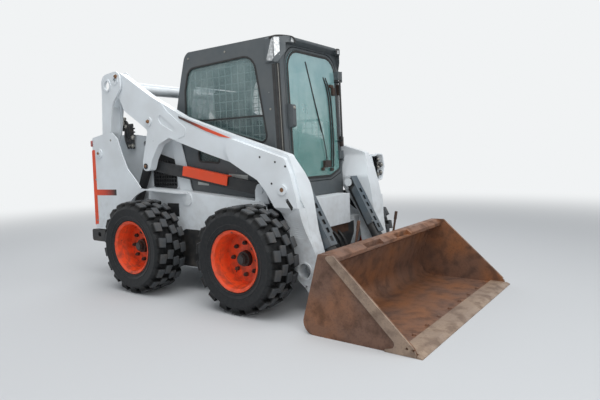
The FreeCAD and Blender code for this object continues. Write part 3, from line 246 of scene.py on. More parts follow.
black_rubber = moulded("extruded_black_rubber", "#191A1B", "#4B4845", 0.55, 4, 0.25)
black_plastic = moulded("moulded_black_plastic", "#26282A", "#5A5753", 0.5, 3, 0.3)
seat_vinyl = moulded("embossed_black_vinyl", "#2A2B2D", "#4E4C4A", 0.5, 5, 0.2, 0.35)
engine_iron = moulded("painted_cast_iron", "#3A3D40", "#5B5248", 0.6, 8, 0.5)
rod_chrome = bright_metal("hard_chrome_plate", "#D2D4D6", 0.12)
zinc_steel = bright_metal("zinc_plated_steel", "#A9A7A0", 0.38)
side_glass = clear_pane("tinted_side_glass", "#55787A", "#86A5A6", 0.16, 0.34, 0.04)
door_glass = clear_pane("tinted_door_glass", "#5FA8A2", "#9FCBD0", 0.42, 0.6, 0.04)
screen_wire = moulded("galvanised_wire_mesh", "#8A9896", "#6A6763", 0.5, 6, 0.3)
red_lens = clear_pane("red_acrylic_lens", "#A81C1C", "#B02020", 0.95, 0.95, 0.12)
blank_label = moulded("blank_printed_film", "#C9CBC8", "#8A857C", 0.4, 20, 0.3, 0.05)
print("materials in all:", len(bpy.data.materials))

# %% [markdown]
# ## Dressing the CAD nodes
# A node keeps its mesh and gets a better material in its slots. The table below says which
# finish each node has on the real machine.

# %% Assign the finishes
finishes = [
    (white_paint, "main_frame rear_towers front_panel tailgate lift_arm_left lift_arm_right "
                  "arm_cross_tubes rear_links"),
    (cab_paint, "cab_roof cab_sides cab_rear_wall cab_front_frame cab_floor roof_visor door_frame "
                "head_lamps"),
    (slate_paint, "tilt_cylinder_guards"),
    (screen_wire, "side_window_screens"),
    (black_paint, "rear_bumper side_grilles control_links lift_barrels "
                  "tilt_barrels quick_attach tailgate_louvres door_grab_bar seat_base axle_housings "
                  "engine_cover"),
    (orange_paint, "arm_support tower_corner_strips"),
    (bucket_rust, "bucket_shell"),
    (worn_steel, "side_cutters cutting_edge"),
    (lever_rust, "attach_levers"),
    (engine_iron, "engine_block"),
    (black_plastic, "control_levers"),
    (seat_vinyl, "seat_cushion seat_backrest"),
    (rod_chrome, "lift_rods tilt_rods"),
    (zinc_steel, "hydraulic_couplers"),
    (side_glass, "side_window_glass rear_window_glass"),
    (door_glass, "door_glass"),
    (red_lens, "tail_lamps"),
]
corners = ("front_left", "front_right", "rear_left", "rear_right")
finishes += [(black_rubber, " ".join("tyre_" + c for c in corners)),
             (orange_paint, " ".join("rim_" + c for c in corners)),
             (hub_iron, " ".join("hub_" + c for c in corners))]


def finish_object(piece, material):
    piece.data.materials.clear()
    piece.data.materials.append(material)


dressed = 0
for material, names in finishes:
    for name in names.split():
        finish_object(nodes[name], material)
        dressed += 1
print("nodes dressed:", dressed, "of", len(nodes))

# %% [markdown]
# ## Small pieces
# Each small piece is a mesh in the frame's own coordinates, so its pattern lies at real scale
# and it only has to be told which body it rides. Like pieces are joined into one mesh.

# %% Mesh helpers
def keep_piece(name, mesh, material, body):
    piece = bpy.data.objects.new(name, mesh)
    bpy.context.scene.collection.objects.link(piece)
    finish_object(piece, material)
    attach(piece, body)
    return piece


def mesh_from(bm, name, smooth=True):
    bmesh.ops.recalc_face_normals(bm, faces=bm.faces)
    mesh = bpy.data.meshes.new(name)
    bm.to_mesh(mesh)
    bm.free()
    for face in mesh.polygons:
        face.use_smooth = smooth
    if smooth:
        mesh.set_sharp_from_angle(angle=math.radians(35))
    return mesh


def slab(bm, outline, lift):
    """A thin plate: a closed outline of points, thickened by a lift vector."""
    low = [bm.verts.new(p) for p in outline]
    high = [bm.verts.new(p + lift) for p in outline]
    bm.faces.new(low)
    bm.faces.new(high)
    count = len(outline)
    for i in range(count):
        bm.faces.new((low[i], low[(i + 1) % count], high[(i + 1) % count], high[i]))


def facing(axis):
    """Turns +Z to an axis."""
    return Vector(axis).to_track_quat("Z", "Y").to_matrix().to_4x4()


def bolt_heads(name, places, axis, across, height, material, body):
    """Hex heads on washers, joined in one mesh, standing on the given points."""
    bm = bmesh.new()
    for place in places:
        turn = Matrix.Translation(place) @ facing(axis)
        bmesh.ops.create_cone(bm, cap_ends=True, segments=20, radius1=across * 0.72 / 1000,
                              radius2=across * 0.7 / 1000, depth=0.003,
                              matrix=turn @ Matrix.Translation((0, 0, 0.0012)))
        bmesh.ops.create_cone(bm, cap_ends=True, segments=6, radius1=across * 0.56 / 1000,
                              radius2=across * 0.5 / 1000, depth=height / 1000,
                              matrix=turn @ Matrix.Translation((0, 0, 0.0025 + height / 2000)))
    return keep_piece(name, mesh_from(bm, name), material, body)


def bent_tube(name, points, radius, material, body, sides=4):
    """A tube or hose along a smooth line through a few points."""
    line = bpy.data.curves.new(name, "CURVE")
    line.dimensions = "3D"
    spline = line.splines.new("NURBS")
    spline.points.add(len(points) - 1)
    for point, place in zip(spline.points, points):
        point.co = (*place, 1)
    spline.order_u = 3
    spline.use_endpoint_u = True
    line.bevel_depth = radius / 1000
    line.bevel_resolution = sides
    line.resolution_u = 8
    line.use_fill_caps = True
    drawn = bpy.data.objects.new(name + "_line", line)
    bpy.context.scene.collection.objects.link(drawn)
    bpy.context.view_layer.update()
    mesh = bpy.data.meshes.new_from_object(drawn.evaluated_get(bpy.context.evaluated_depsgraph_get()))
    bpy.data.objects.remove(drawn)
    for face in mesh.polygons:
        face.use_smooth = True
    return keep_piece(name, mesh, material, body)


print("mesh helpers ready")

# %% [markdown]
# ## Coloured stripes
# The maker's decals are left bare, and only plain stripes stay: a bar on each tower that fades
# from orange to black, and a long wedge on each arm. Each is a film 0.5 mm thick on the paint,
# whose colour ramp runs along the machine.

# %% Stripes
def striped_film(name, start_x, end_x, stops):
    material, shader, place = start(name)
    x = add(material, "SeparateXYZ", {0: place}).outputs["X"]
    along = add(material, "MapRange", {"Value": x, "From Min": at(start_x, 0, 0).x,
                                       "From Max": at(end_x, 0, 0).x}).outputs["Result"]
    ramp = add(material, "ValToRGB", {"Fac": along})
    ramp.color_ramp.elements[0].position, colour = stops[0]
    ramp.color_ramp.elements[0].color = linear(colour)
    ramp.color_ramp.elements[1].position, colour = stops[-1]
    ramp.color_ramp.elements[1].color = linear(colour)
    for position, colour in stops[1:-1]:
        ramp.color_ramp.elements.new(position).color = linear(colour)
    wear = speckle(material, place, 25, 0.62, 0.7)
    wire(material, blend_colours(material, times(material, wear, 0.3), ramp.outputs["Color"],
                                 linear("#8A8078")), shader.inputs["Base Color"])
    shader.inputs["Roughness"].default_value = 0.35
    return material


tower_film = striped_film("printed_vinyl_tower_bar", -845, -520,
                          [(0.0, "#E8502A"), (0.45, "#C8442A"), (0.95, "#2B2423")])
arm_film = striped_film("printed_vinyl_arm_wedge", 345, 944,
                        [(0.0, "#2A2523"), (0.25, "#5A2A1E"), (0.55, "#D84A28"), (1.0, "#EE5A2C")])
FILM = 0.0005
for side, sign in (("left", 1), ("right", -1)):
    bar = bmesh.new()
    slab(bar, [at(x, sign * 642, z) for x, z in ((-845, 806), (-520, 812), (-520, 868), (-845, 862))],
         Vector((0, sign * FILM, 0)))
    keep_piece("tower_bar_" + side, mesh_from(bar, "tower_bar", False), tower_film, "chassis")
    wedge = bmesh.new()
    slab(wedge, [at(x, sign * 600, z) for x, z in
                 ((345, 1500), (640, 1394), (944, 1288), (820, 1308), (660, 1360), (352, 1479))],
         Vector((0, sign * FILM, 0)))
    keep_piece("arm_wedge_" + side, mesh_from(wedge, "arm_wedge", False), arm_film, "lift_arms")
print("stripes made")

# %% [markdown]
# ## Tyres
# A construction tyre is vulcanised in a mould: a smooth sidewall with thin rings near the bead,
# and a tread of deep rubber blocks with wide gaps that throw out mud. The CAD ring has plain
# bars, so a finer tyre stands for it: a lathed carcass, and four rows of blocks whose sides
# lean out to a wider foot. Every block is one small box, bevelled like the mould's edges.

# %% Tyre rubber
TYRE_RADIUS = 397
BLOCK_FOOT = 358


def wheel_rubber():
    material, shader, place = start("vulcanised_tyre_rubber")
    parts = add(material, "SeparateXYZ", {0: place})
    flat = add(material, "CombineXYZ", {"X": parts.outputs["X"], "Z": parts.outputs["Z"]})
    radius = add(material, "VectorMath", {0: flat.outputs[0]}, operation="LENGTH").outputs["Value"]
    tread = add(material, "MapRange", {"Value": radius, "From Min": 0.352, "From Max": 0.366}).outputs["Result"]
    worn_and_lit_tops = add(material, "MapRange", {"Value": radius, "From Min": 0.378, "From Max": 0.393}).outputs["Result"]
    mud = speckle(material, place, 60, 0.46, 0.66, 6.0)
    scuff = speckle(material, place, 25, 0.4, 0.7, 4.0)
    # Painted shade, with some dirt: the gaps and block sides deep in the tread turn near-black.
    base = blend_colours(material, tread, linear("#202224"), linear("#08090A"))
    # Worn, dusty rubber and a painted highlight: the block tops turn a lighter grey.
    base = blend_colours(material, worn_and_lit_tops, base, linear("#4B4E51"))
    base = blend_colours(material, times(material, scuff, 0.16), base, linear("#4A4846"))
    base = blend_colours(material, times(material, times(material, mud, worn_and_lit_tops), 0.25), base, linear("#6A5F54"))
    wire(material, base, shader.inputs["Base Color"])
    rough = add(material, "MapRange", {"Value": radius, "From Min": 0.33, "From Max": 0.37,
                                       "To Min": 0.42, "To Max": 0.66}).outputs["Result"]
    wire(material, rough, shader.inputs["Roughness"])
    shader.inputs["Specular IOR Level"].default_value = 0.22
    fine = add(material, "TexNoise", {"Vector": place, "Scale": per_mm(9), "Detail": 3.0})
    bump = add(material, "Bump", {"Height": fine.outputs["Fac"], "Strength": 0.3, "Distance": 0.001})
    wire(material, bump.outputs["Normal"], shader.inputs["Normal"])
    return material


tyre_rubber = wheel_rubber()
print("tread blocks are", TYRE_RADIUS - BLOCK_FOOT, "mm deep")

# %% Lathed rings and tread blocks
def lathe(bm, profile, steps):
    """Turns (radius, y) points in millimetres about the Y axis."""
    rings = []
    for step in range(steps):
        angle = 2 * math.pi * step / steps
        rings.append([bm.verts.new(Vector((math.sin(angle) * r, y, math.cos(angle) * r)) / 1000)
                      for r, y in profile])
    for step in range(steps):
        here, after = rings[step], rings[(step + 1) % steps]
        for i in range(len(profile) - 1):
            bm.faces.new((here[i], after[i], after[i + 1], here[i + 1]))


def on_tyre(arc, y, radius):
    angle = arc / TYRE_RADIUS
    return Vector((math.sin(angle) * radius, y, math.cos(angle) * radius)) / 1000


def tread_block(bm, top, foot):
    """A block from four (arc, y, radius) top corners to four foot corners; returns its edges."""
    high = [bm.verts.new(on_tyre(*corner)) for corner in top]
    low = [bm.verts.new(on_tyre(*corner)) for corner in foot]
    faces = [bm.faces.new(high)]
    for i in range(4):
        faces.append(bm.faces.new((low[i], low[(i + 1) % 4], high[(i + 1) % 4], high[i])))
    return [edge for edge in set(e for face in faces for e in face.edges)
            if not (edge.verts[0] in low and edge.verts[1] in low)]


def block_row(bm, start_arc, sign):
    """Shoulder and centre block of one pitch on one side, leaning with the tread's skew."""
    edges = []
    a, s, r = start_arc, sign, TYRE_RADIUS
    top = [(a - 42, s * 80, r), (a + 36, s * 68, r), (a + 46, s * 128, r - 3), (a - 34, s * 134, r - 5)]
    foot = [(a - 43, s * 78, BLOCK_FOOT), (a + 38, s * 66, BLOCK_FOOT), (a + 48, s * 148, 342),
            (a - 36, s * 148, 338)]
    edges += tread_block(bm, top, foot)
    a += 30
    top = [(a - 43, s * 12, r), (a + 33, s * 0, r), (a + 41, s * 54, r), (a - 33, s * 66, r)]
    foot = [(a - 45, s * 9, BLOCK_FOOT), (a + 35, s * -3, BLOCK_FOOT), (a + 43, s * 59, BLOCK_FOOT),
            (a - 36, s * 71, BLOCK_FOOT)]
    return edges + tread_block(bm, top, foot)


def tyre_mesh():
    bm = bmesh.new()
    half = [(214, 120.5), (231.5, 125), (231.5, 133.5), (237, 138.5), (243, 139), (246, 137), (262, 142),
            (268, 145.5), (273, 143), (300, 147.5), (322, 148.5), (327, 150), (334, 150), (340, 147),
            (350, 138), (357, 122), (360, 100), (362, 50)]
    lathe(bm, half + [(362, 0)] + [(r, -y) for r, y in reversed(half)], 96)
    soft = []
    pitch = 2 * math.pi * TYRE_RADIUS / 18
    for index in range(18):
        soft += block_row(bm, index * pitch, 1)
        soft += block_row(bm, (index + 0.5) * pitch, -1)
    bmesh.ops.bevel(bm, geom=soft, offset=0.005, segments=2, profile=0.6, affect="EDGES")
    return mesh_from(bm, "lugged_tyre")


tyre_shape = tyre_mesh()
wheels = {"front_left": (1190, 1), "front_right": (1190, -1), "rear_left": (0, 1), "rear_right": (0, -1)}
for corner, (x, sign) in wheels.items():
    tyre = bpy.data.objects.new("lugged_tyre_" + corner, tyre_shape)
    bpy.context.scene.collection.objects.link(tyre)
    finish_object(tyre, tyre_rubber)
    tyre.location = at(x, sign * 758, 398)
    tyre.rotation_euler = (0, 0, 0 if sign > 0 else math.pi)
    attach(tyre, "wheel_" + corner)
    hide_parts("tyre_" + corner)
print("tyre triangles:", sum(len(face.vertices) - 2 for face in tyre_shape.polygons))

# %% [markdown]
# Wheel studs end in the nuts, and a valve stem stands in each rim. The studs are short turned
# ends with a chamfer, set on the eight nuts of every hub.

# %% Studs and valve stems
def short_studs(bm, places, axis, radius, length):
    for place in places:
        turn = Matrix.Translation(place) @ facing(axis)
        bmesh.ops.create_cone(bm, cap_ends=True, segments=14, radius1=radius / 1000,
                              radius2=radius * 0.8 / 1000, depth=length / 1000,
                              matrix=turn @ Matrix.Translation((0, 0, length / 2000)))


for corner, (x, sign) in wheels.items():
    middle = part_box("hub_" + corner)
    outer = max(abs(middle[0][1]), abs(middle[1][1])) * 1000
    studs = bmesh.new()
    nuts = [at(x + 118 * math.cos(k * math.pi / 4), sign * 775.5, 398 + 118 * math.sin(k * math.pi / 4))
            for k in range(8)]
    short_studs(studs, nuts, (0, sign, 0), 8, 13)
    short_studs(studs, [at(x + 150, sign * (758 + 40), 398 + 120)], (0, sign, 0.2), 5, 42)
    keep_piece("wheel_studs_" + corner, mesh_from(studs, "wheel_studs"), hub_iron, "wheel_" + corner)
    print(corner, "hub reaches", round(outer, 1), "mm")

# %% [markdown]
# ## Cab glazing seals
# Each pane sits in an extruded rubber channel that shows as a black line round the glass. A
# loop with rounded corners, swept with a small round section, gives that line.

# %% Rounded loops
def rounded_path(corners, steps=6):
    """Closed list of (a, b) points through (a, b, radius) corners."""
    path = []
    count = len(corners)
    for i, (a, b, radius) in enumerate(corners):
        here = Vector((a, b))
        back = (Vector(corners[i - 1][:2]) - here).normalized()
        ahead = (Vector(corners[(i + 1) % count][:2]) - here).normalized()
        half = back.angle(ahead) / 2
        centre = here + (back + ahead).normalized() * (radius / math.sin(half))
        first = (here + back * (radius / math.tan(half)) - centre).normalized()
        last = (here + ahead * (radius / math.tan(half)) - centre).normalized()
        for k in range(steps + 1):
            share = k / steps
            path.append(centre + (first * (1 - share) + last * share).normalized() * radius)
    return path


def loop_strip(name, points, wide, proud, outward, material, body):
    """A flat seal round a closed loop of points, wide across the loop and proud along outward."""
    bm = bmesh.new()
    count = len(points)
    middle = sum(points, Vector()) / count
    rings = []
    for i, point in enumerate(points):
        along = (points[(i + 1) % count] - points[i - 1]).normalized()
        across = along.cross(outward).normalized()
        if across.dot(point - middle) < 0:
            across.negate()
        half, lift = across * (wide / 2000), outward * (proud / 1000)
        rings.append([bm.verts.new(point + offset) for offset in
                      (-half - lift, -half + lift * 0.7, -half * 0.5 + lift, half * 0.5 + lift,
                       half + lift * 0.7, half - lift)])
    for i in range(count):
        here, after = rings[i], rings[(i + 1) % count]
        for k in range(6):
            bm.faces.new((here[k], after[k], after[(k + 1) % 6], here[(k + 1) % 6]))
    return keep_piece(name, mesh_from(bm, name), material, body)


SIDE_WINDOW = [(322, 1905, 90), (1060, 1928, 130), (1182, 1235, 50), (262, 1470, 60), (268, 1720, 60)]
LOWER_WINDOW = [(392, 1215, 30), (650, 1185, 30), (650, 1095, 25), (410, 1112, 25)]
for side, sign in (("left", 1), ("right", -1)):
    for title, corners_of in (("side", SIDE_WINDOW), ("lower", LOWER_WINDOW)):
        loop_strip(title + "_window_seal_" + side, [at(x, sign * 439, z) for x, z in rounded_path(corners_of)],
                   16, 4, Vector((0, sign, 0)), black_rubber, "chassis")
print("side window seals made")

# %% [markdown]
# ## Door
# The door leans back with the cab's front. Its pane is bonded in a black band, and a rubber
# bulb seals the gap to the posts. A wiper with its hose, two worn hinges and a lock lie on it.

# %% Door seal, posts and wiper
def front_at(z, proud=0):
    """Depth of the cab's leaning front at a height."""
    return 1352 - 55 * (z - 745) / 1235 + proud


LEAN = Vector((1, 0, 55 / 1235)).normalized()
door_glass_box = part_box("door_glass")
glass_half = door_glass_box[1][1] * 1000
glass_low, glass_top = door_glass_box[0][2] * 1000, door_glass_box[1][2] * 1000


def pane_edge(grow):
    half, low, top = glass_half + grow, glass_low - grow, glass_top + grow
    return rounded_path([(half, low + 55, 40), (half, top, 140), (-half, top, 140), (-half, low + 55, 40),
                         (-half + 150, low, 60), (half - 150, low, 60)])


pane = bmesh.new()
slab(pane, [at(front_at(z, 1.5), y, z) for y, z in pane_edge(26)], LEAN * 0.005)
door_pane = keep_piece("bonded_door_pane", mesh_from(pane, "bonded_door_pane", False), door_glass, "cab_door")
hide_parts("door_glass")
loop_strip("door_pane_band", [at(front_at(z, 6.6), y, z) for y, z in pane_edge(18)],
           20, 1, LEAN, black_rubber, "cab_door")


def on_post(x, z, sign, proud):
    """A point on the cab's slanted front corner, and out from it by proud millimetres."""
    return at(x + 0.497 * proud, sign * (440 - (x - 1249) * 98 / 171 + 0.868 * proud), z)


for side, sign in (("left", 1), ("right", -1)):
    out = Vector((0.497, sign * 0.868, 0))
    posts = bmesh.new()
    for rear, ahead, low, top, proud in ((1252, 1272, 985, 1835, 5), (1277, 1289, 985, 1840, 9),
                                         (1295, 1303, 985, 1840, 4)):
        slab(posts, [on_post(x, z, sign, 0.4) for x, z in
                     ((rear + 14, low), (ahead + 14, low), (ahead - 8, top), (rear - 8, top))],
             out * proud / 1000)
    keep_piece("door_post_seals_" + side, mesh_from(posts, "door_post_seals", False), black_rubber,
               "chassis")
    trim = bmesh.new()
    slab(trim, [on_post(x, z, sign, 0.4) for x, z in ((1304, 985), (1307, 985), (1285, 1835), (1282, 1835))],
         out * 0.006)
    keep_piece("post_edge_trim_" + side, mesh_from(trim, "post_edge_trim", False), zinc_steel, "chassis")
bent_tube("wiper_arm", [at(front_at(1092, 14), 128, 1092), at(front_at(1180, 22), 112, 1180),
                        at(front_at(1420, 16), 48, 1420), at(front_at(1640, 10), -22, 1640)], 4,
          black_plastic, "cab_door")
blade = bmesh.new()
slab(blade, [at(front_at(z, 4), y, z) for y, z in ((76, 1325), (87, 1328), (-90, 1888), (-101, 1884))],
     Vector((0.006, 0, 0)))
keep_piece("wiper_blade", mesh_from(blade, "wiper_blade", False), black_rubber, "cab_door")
for index, y in enumerate((212, 244)):
    bent_tube("washer_hose_%d" % index, [at(front_at(1030, 8), y - 12, 1030), at(front_at(1160, 16), y, 1160),
                                         at(front_at(1450, 12), y + 10, 1450), at(front_at(1700, 16), y - 10, 1700),
                                         at(front_at(1786, 6), y - 60, 1786)], 6, black_rubber, "cab_door")
print("door pane", round(2 * glass_half), "mm wide")

# %% [markdown]
# Brackets and the wiper's gearbox are pressed plate and cast housings whose paint has rusted
# away. Each is a bevelled block, because sharp machine-cut corners would catch no light.

# %% Bevelled blocks
def soft_block(bm, centre, size, turn=None, bevel=3, segments=2):
    """A block of a size in millimetres with rounded edges, added to a mesh."""
    matrix = Matrix.Translation(centre) @ (turn or Matrix.Identity(4)) @ Matrix.Diagonal(
        (*(c / 1000 for c in size), 1))
    made = bmesh.ops.create_cube(bm, size=1, matrix=matrix)
    edges = list({edge for vert in made["verts"] for edge in vert.link_edges})
    bmesh.ops.bevel(bm, geom=edges, offset=bevel / 1000, segments=segments, affect="EDGES")


brackets = bmesh.new()
for y, z, size in ((286, 1676, (26, 46, 66)), (262, 1720, (20, 60, 24)), (120, 1062, (34, 92, 58)),
                   (196, 1012, (22, 40, 26)), (60, 1020, (20, 34, 26))):
    soft_block(brackets, at(front_at(z, 12), y, z), size)
keep_piece("wiper_gearbox_and_clips", mesh_from(brackets, "wiper_gearbox_and_clips"), hub_iron,
           "cab_door")
hinges = bmesh.new()
for z in (1250, 1700):
    soft_block(hinges, at(front_at(z, 4), 392, z), (30, 44, 90), bevel=6)
    short_studs(hinges, [at(front_at(z, 18), 392, z + dz) for dz in (-26, 26)], (1, 0, 0), 8, 6)
keep_piece("hinge_straps", mesh_from(hinges, "hinge_straps"), hub_iron, "chassis")
lock = bmesh.new()
short_studs(lock, [at(front_at(1500, 50), -342, 1506)], (1, 0, 0), 13, 6)
keep_piece("door_lock_cylinder", mesh_from(lock, "door_lock_cylinder"), zinc_steel, "cab_door")
print("door fittings made")

# %% [markdown]
# ## Work lamps
# A moulded reflector sits behind a clear cover in each wedge on the roof's corners. The cover
# shows as a bright plate of small facets with a black rim. It is a thin shell on the two faces
# of the wedge, and a cell pattern of 22 mm in its bump stands for the reflector's facets. The
# same cells darken each facet towards its edge in the colour: painted shade.

# %% Lamp covers
def reflector():
    material, shader, place = start("faceted_lamp_reflector")
    cells = add(material, "TexVoronoi", {"Vector": place, "Scale": per_mm(22)})
    shade = add(material, "MapRange", {"Value": cells.outputs["Distance"], "From Max": 0.6}).outputs["Result"]
    # Painted shade: each facet darkens towards its edge.
    base = blend_colours(material, times(material, shade, 0.75), linear("#E3E6E7"), linear("#85888A"))
    wire(material, base, shader.inputs["Base Color"])
    shader.inputs["Metallic"].default_value = 0.25
    shader.inputs["Roughness"].default_value = 0.18
    shader.inputs["Coat Weight"].default_value = 1.0
    bump = add(material, "Bump", {"Height": cells.outputs["Distance"], "Strength": 0.6, "Distance": 0.004})
    wire(material, bump.outputs["Normal"], shader.inputs["Normal"])
    return material


lamp_reflector = reflector()


def on_chamfer(y, z, sign):
    """A point on the lamp's slanted outer face."""
    return at(1356 - (y - 346) * 86 / 106 + 0.6, sign * (y + 0.6), z)


for side, sign in (("left", 1), ("right", -1)):
    cover = bmesh.new()
    slab(cover, [on_chamfer(y, z, sign) for y, z in
                 ((350, 2024), (400, 2032), (449, 2029), (449, 1884), (424, 1915), (392, 1950), (388, 1990),
                  (352, 1998))], Vector((0.0025, sign * 0.0025, 0)))
    slab(cover, [at(x, sign * 452.6, z) for x, z in ((1269, 2028), (1250, 2010), (1204, 1878), (1208, 1864),
                                                     (1252, 1856), (1269, 1874))],
         Vector((0, sign * 0.0025, 0)))
    slab(cover, [at(1356.6, sign * y, z) for y, z in ((304, 1998), (304, 2026), (340, 2032), (344, 1998))],
         Vector((0.0025, 0, 0)))
    keep_piece("lamp_cover_" + side, mesh_from(cover, "lamp_cover", False), lamp_reflector, "chassis")
    bent_tube("lamp_rim_" + side, [at(1236, sign * 455, 2026), at(1266, sign * 455, 2038),
                                   at(1310, sign * 405, 2043), at(1352, sign * 352, 2038),
                                   at(1360, sign * 318, 2034), at(1360, sign * 300, 2018),
                                   at(1360, sign * 300, 1992)], 7, black_rubber, "chassis")
print("lamp covers made")

# %% [markdown]
# ## Bolts, pins and hoses
# Pivot pins are held by a bolted flag, and their heads rust where the paint cracks. Grade 8
# hex heads, 24 mm across flats, stand on the pins and along the bucket's cutting edge.

# %% Pin bolts and screws
for side, sign in (("left", 1), ("right", -1)):
    out = (0, sign, 0)
    bolt_heads("link_pin_bolts_" + side, [at(-430, sign * 638, 1905), at(-750, sign * 652, 1212)], out, 26, 12,
               pin_rust, "rear_links")
    bolt_heads("arm_pin_bolts_" + side, [at(-40, sign * 612, 1475), at(-113, sign * 600, 1081)], out, 24, 12,
               pin_rust, "lift_arms")
    bolt_heads("arm_plugs_" + side, [at(1258, sign * 640, 1138), at(1491, sign * 640, 1068),
                                     at(1362, sign * 640, 944), at(1400, sign * 640, 1100)], out, 11, 1,
               black_rubber, "lift_arms")
    bolt_heads("cab_side_screws_" + side, [at(x, sign * 440, z) for x, z in
                                           ((330, 1990), (760, 1990), (1215, 1500), (262, 1420), (1100, 1240))],
               out, 12, 4, zinc_steel, "chassis")
    bolt_heads("tower_screws_" + side, [at(x, sign * 642, z) for x, z in
                                        ((-860, 1300), (-855, 560), (-480, 560), (-835, 960), (-560, 1330))],
               out, 12, 4, zinc_steel, "chassis")
edge_bolts = [at(2480 - 30, y, 13) for y in range(-840, 841, 210)]
bolt_heads("cutting_edge_bolts", edge_bolts, (0, 0, 1), 22, 6, bucket_rust, "bucket")
print("bolts on the cutting edge:", len(edge_bolts))

# %% Hoses and valves by the rear links
hoses = []
for side, sign in (("left", 1), ("right", -1)):
    for index, (lean, back) in enumerate(((0, 0), (26, 14), (52, -8))):
        route = [at(-470 - lean, sign * (452 + index * 10), 1250), at(-520 - lean, sign * (458 + index * 8), 1330),
                 at(-500 - lean + back, sign * 470, 1440), at(-560 - lean / 2, sign * (466 - index * 8), 1530),
                 at(-612, sign * (452 + index * 6), 1500 - index * 40)]
        hoses.append(bent_tube("return_hose_%s_%d" % (side, index), route, 11, black_rubber, "chassis"))
    valve = bmesh.new()
    soft_block(valve, at(-520, sign * 452, 1400), (70, 40, 110), bevel=5)
    soft_block(valve, at(-500, sign * 460, 1310), (52, 46, 60), bevel=5)
    short_studs(valve, [at(-540 + 30 * k, sign * 452, 1455) for k in range(3)], (0, 0, 1), 12, 30)
    short_studs(valve, [at(-485, sign * 452, 1370 + 34 * k) for k in range(3)], (1, 0, 0), 10, 34)
    keep_piece("hose_manifold_" + side, mesh_from(valve, "hose_manifold"), engine_iron, "chassis")
    ends = bmesh.new()
    for x, z in ((-585, 1520), (-600, 1478), (-560, 1450), (-478, 1262), (-520, 1268), (-470, 1340)):
        short_studs(ends, [at(x, sign * 466, z)], (0.5, 0, 1), 16, 34)
        short_studs(ends, [at(x + 8, sign * 466, z + 16)], (0.5, 0, 1), 20, 12)
    keep_piece("hose_fittings_" + side, mesh_from(ends, "hose_fittings"), zinc_steel, "chassis")
print("hoses:", len(hoses))

# %% [markdown]
# ## Front of the frame
# Under the cab the frame ends in a step that boots have worn to bare, rusted steel, with mud
# caked on it. Feed hoses for the attachment hang below it. Mud is built of squashed, noisy
# lumps that sit on the ledge.

# %% Worn step, mud and feed hoses
step = bmesh.new()
soft_block(step, at(1436, 0, 566), (62, 560, 12), bevel=3)
soft_block(step, at(1450, 0, 520), (12, 560, 90), bevel=3)
keep_piece("worn_front_step", mesh_from(step, "worn_front_step"), lever_rust, "chassis")
mud = bmesh.new()
for index in range(26):
    turn = index * 2.399
    y = -250 + 500 * ((index * 0.618) % 1)
    size = 16 + 14 * ((index * 0.377) % 1)
    lump = bmesh.ops.create_icosphere(mud, subdivisions=2, radius=size / 1000, matrix=Matrix.Translation(
        at(1436 + 18 * math.sin(turn), y, 574)) @ Matrix.Diagonal((1.2, 1.5, 0.5, 1)))
    for vert in lump["verts"]:
        shift = math.sin(vert.co.x * 410 + index) * math.cos(vert.co.y * 370) * 0.003
        vert.co.z += shift
        vert.co.x += shift * 0.7
keep_piece("caked_mud", mesh_from(mud, "caked_mud"), caked_mud, "chassis")
print("mud lumps:", 26)

# %% [markdown]
# ## Lower leg plates
# Below the knee the arm's side plate is folded inwards in one long slope. A thin closed form
# lies on the leg's side and carries that slope down, so no ledge shows.

# %% Folded leg plates
LEG = rounded_path([(1490, 1150, 40), (1545, 1020, 120), (1590, 850, 300), (1630, 600, 400),
                    (1680, 430, 200), (1698, 205, 1), (1585, 170, 1), (1511, 230, 40), (1497, 363, 80),
                    (1476, 525, 120), (1462, 628, 40), (1403, 719, 60), (1301, 867, 120), (1218, 952, 60)], 16)


def leg_span(z):
    """The rear and the front edge of the leg's side plate at height z."""
    cuts = [x0 + (x1 - x0) * (z - z0) / (z1 - z0) for (x0, z0), (x1, z1) in zip(LEG, LEG[1:] + LEG[:1])
            if (z0 - z) * (z1 - z) < 0]
    return sorted(cuts)[0], sorted(cuts)[-1]


FOLD = []
for step in range(25):
    z = 769.5 - step * 16
    rear, ahead = leg_span(z)
    out_y = 556.6 + 41.8 * (1 + math.cos(math.pi * step / 24))
    beside_tyre = 586 + 8 * max(0, math.hypot(rear - 1190, z - 398) - TYRE_RADIUS - 14)
    FOLD.append((z, rear + 2, ahead - 1.2, min(out_y, beside_tyre), out_y))
for side, sign in (("left", 1), ("right", -1)):
    fold = bmesh.new()
    rows = [[fold.verts.new(at(x, sign * y, z)) for x, y in ((rear, 556.3), (rear, rear_y), (ahead, out_y),
                                                             (ahead, 556.3))]
            for z, rear, ahead, rear_y, out_y in FOLD]
    for upper, lower in zip(rows, rows[1:]):
        for k in range(3):
            fold.faces.new((upper[k], upper[k + 1], lower[k + 1], lower[k]))
    keep_piece("folded_leg_plate_" + side, mesh_from(fold, "folded_leg_plate", False), white_paint, "lift_arms")
    print(side, "fold is", round(FOLD[0][0] - FOLD[-1][0]), "mm high")

# %% [markdown]
# ## Coupler hood
# The auxiliary couplers stick out of a steel hood on the left knee. The hood is a bent plate
# with a rolled lip. The couplers are turned and plated, with black dust caps.

# %% Coupler hood and caps
def hood_ring(x, out, grow):
    return [at(x, y, z) for y, z in rounded_path(
        [(641, 890 - grow, 8), (748 + out + grow, 903 - grow, 24), (792 + out + grow, 1010, 40),
         (760 + out + grow, 1122 + grow, 24), (641, 1130 + grow, 8)])]


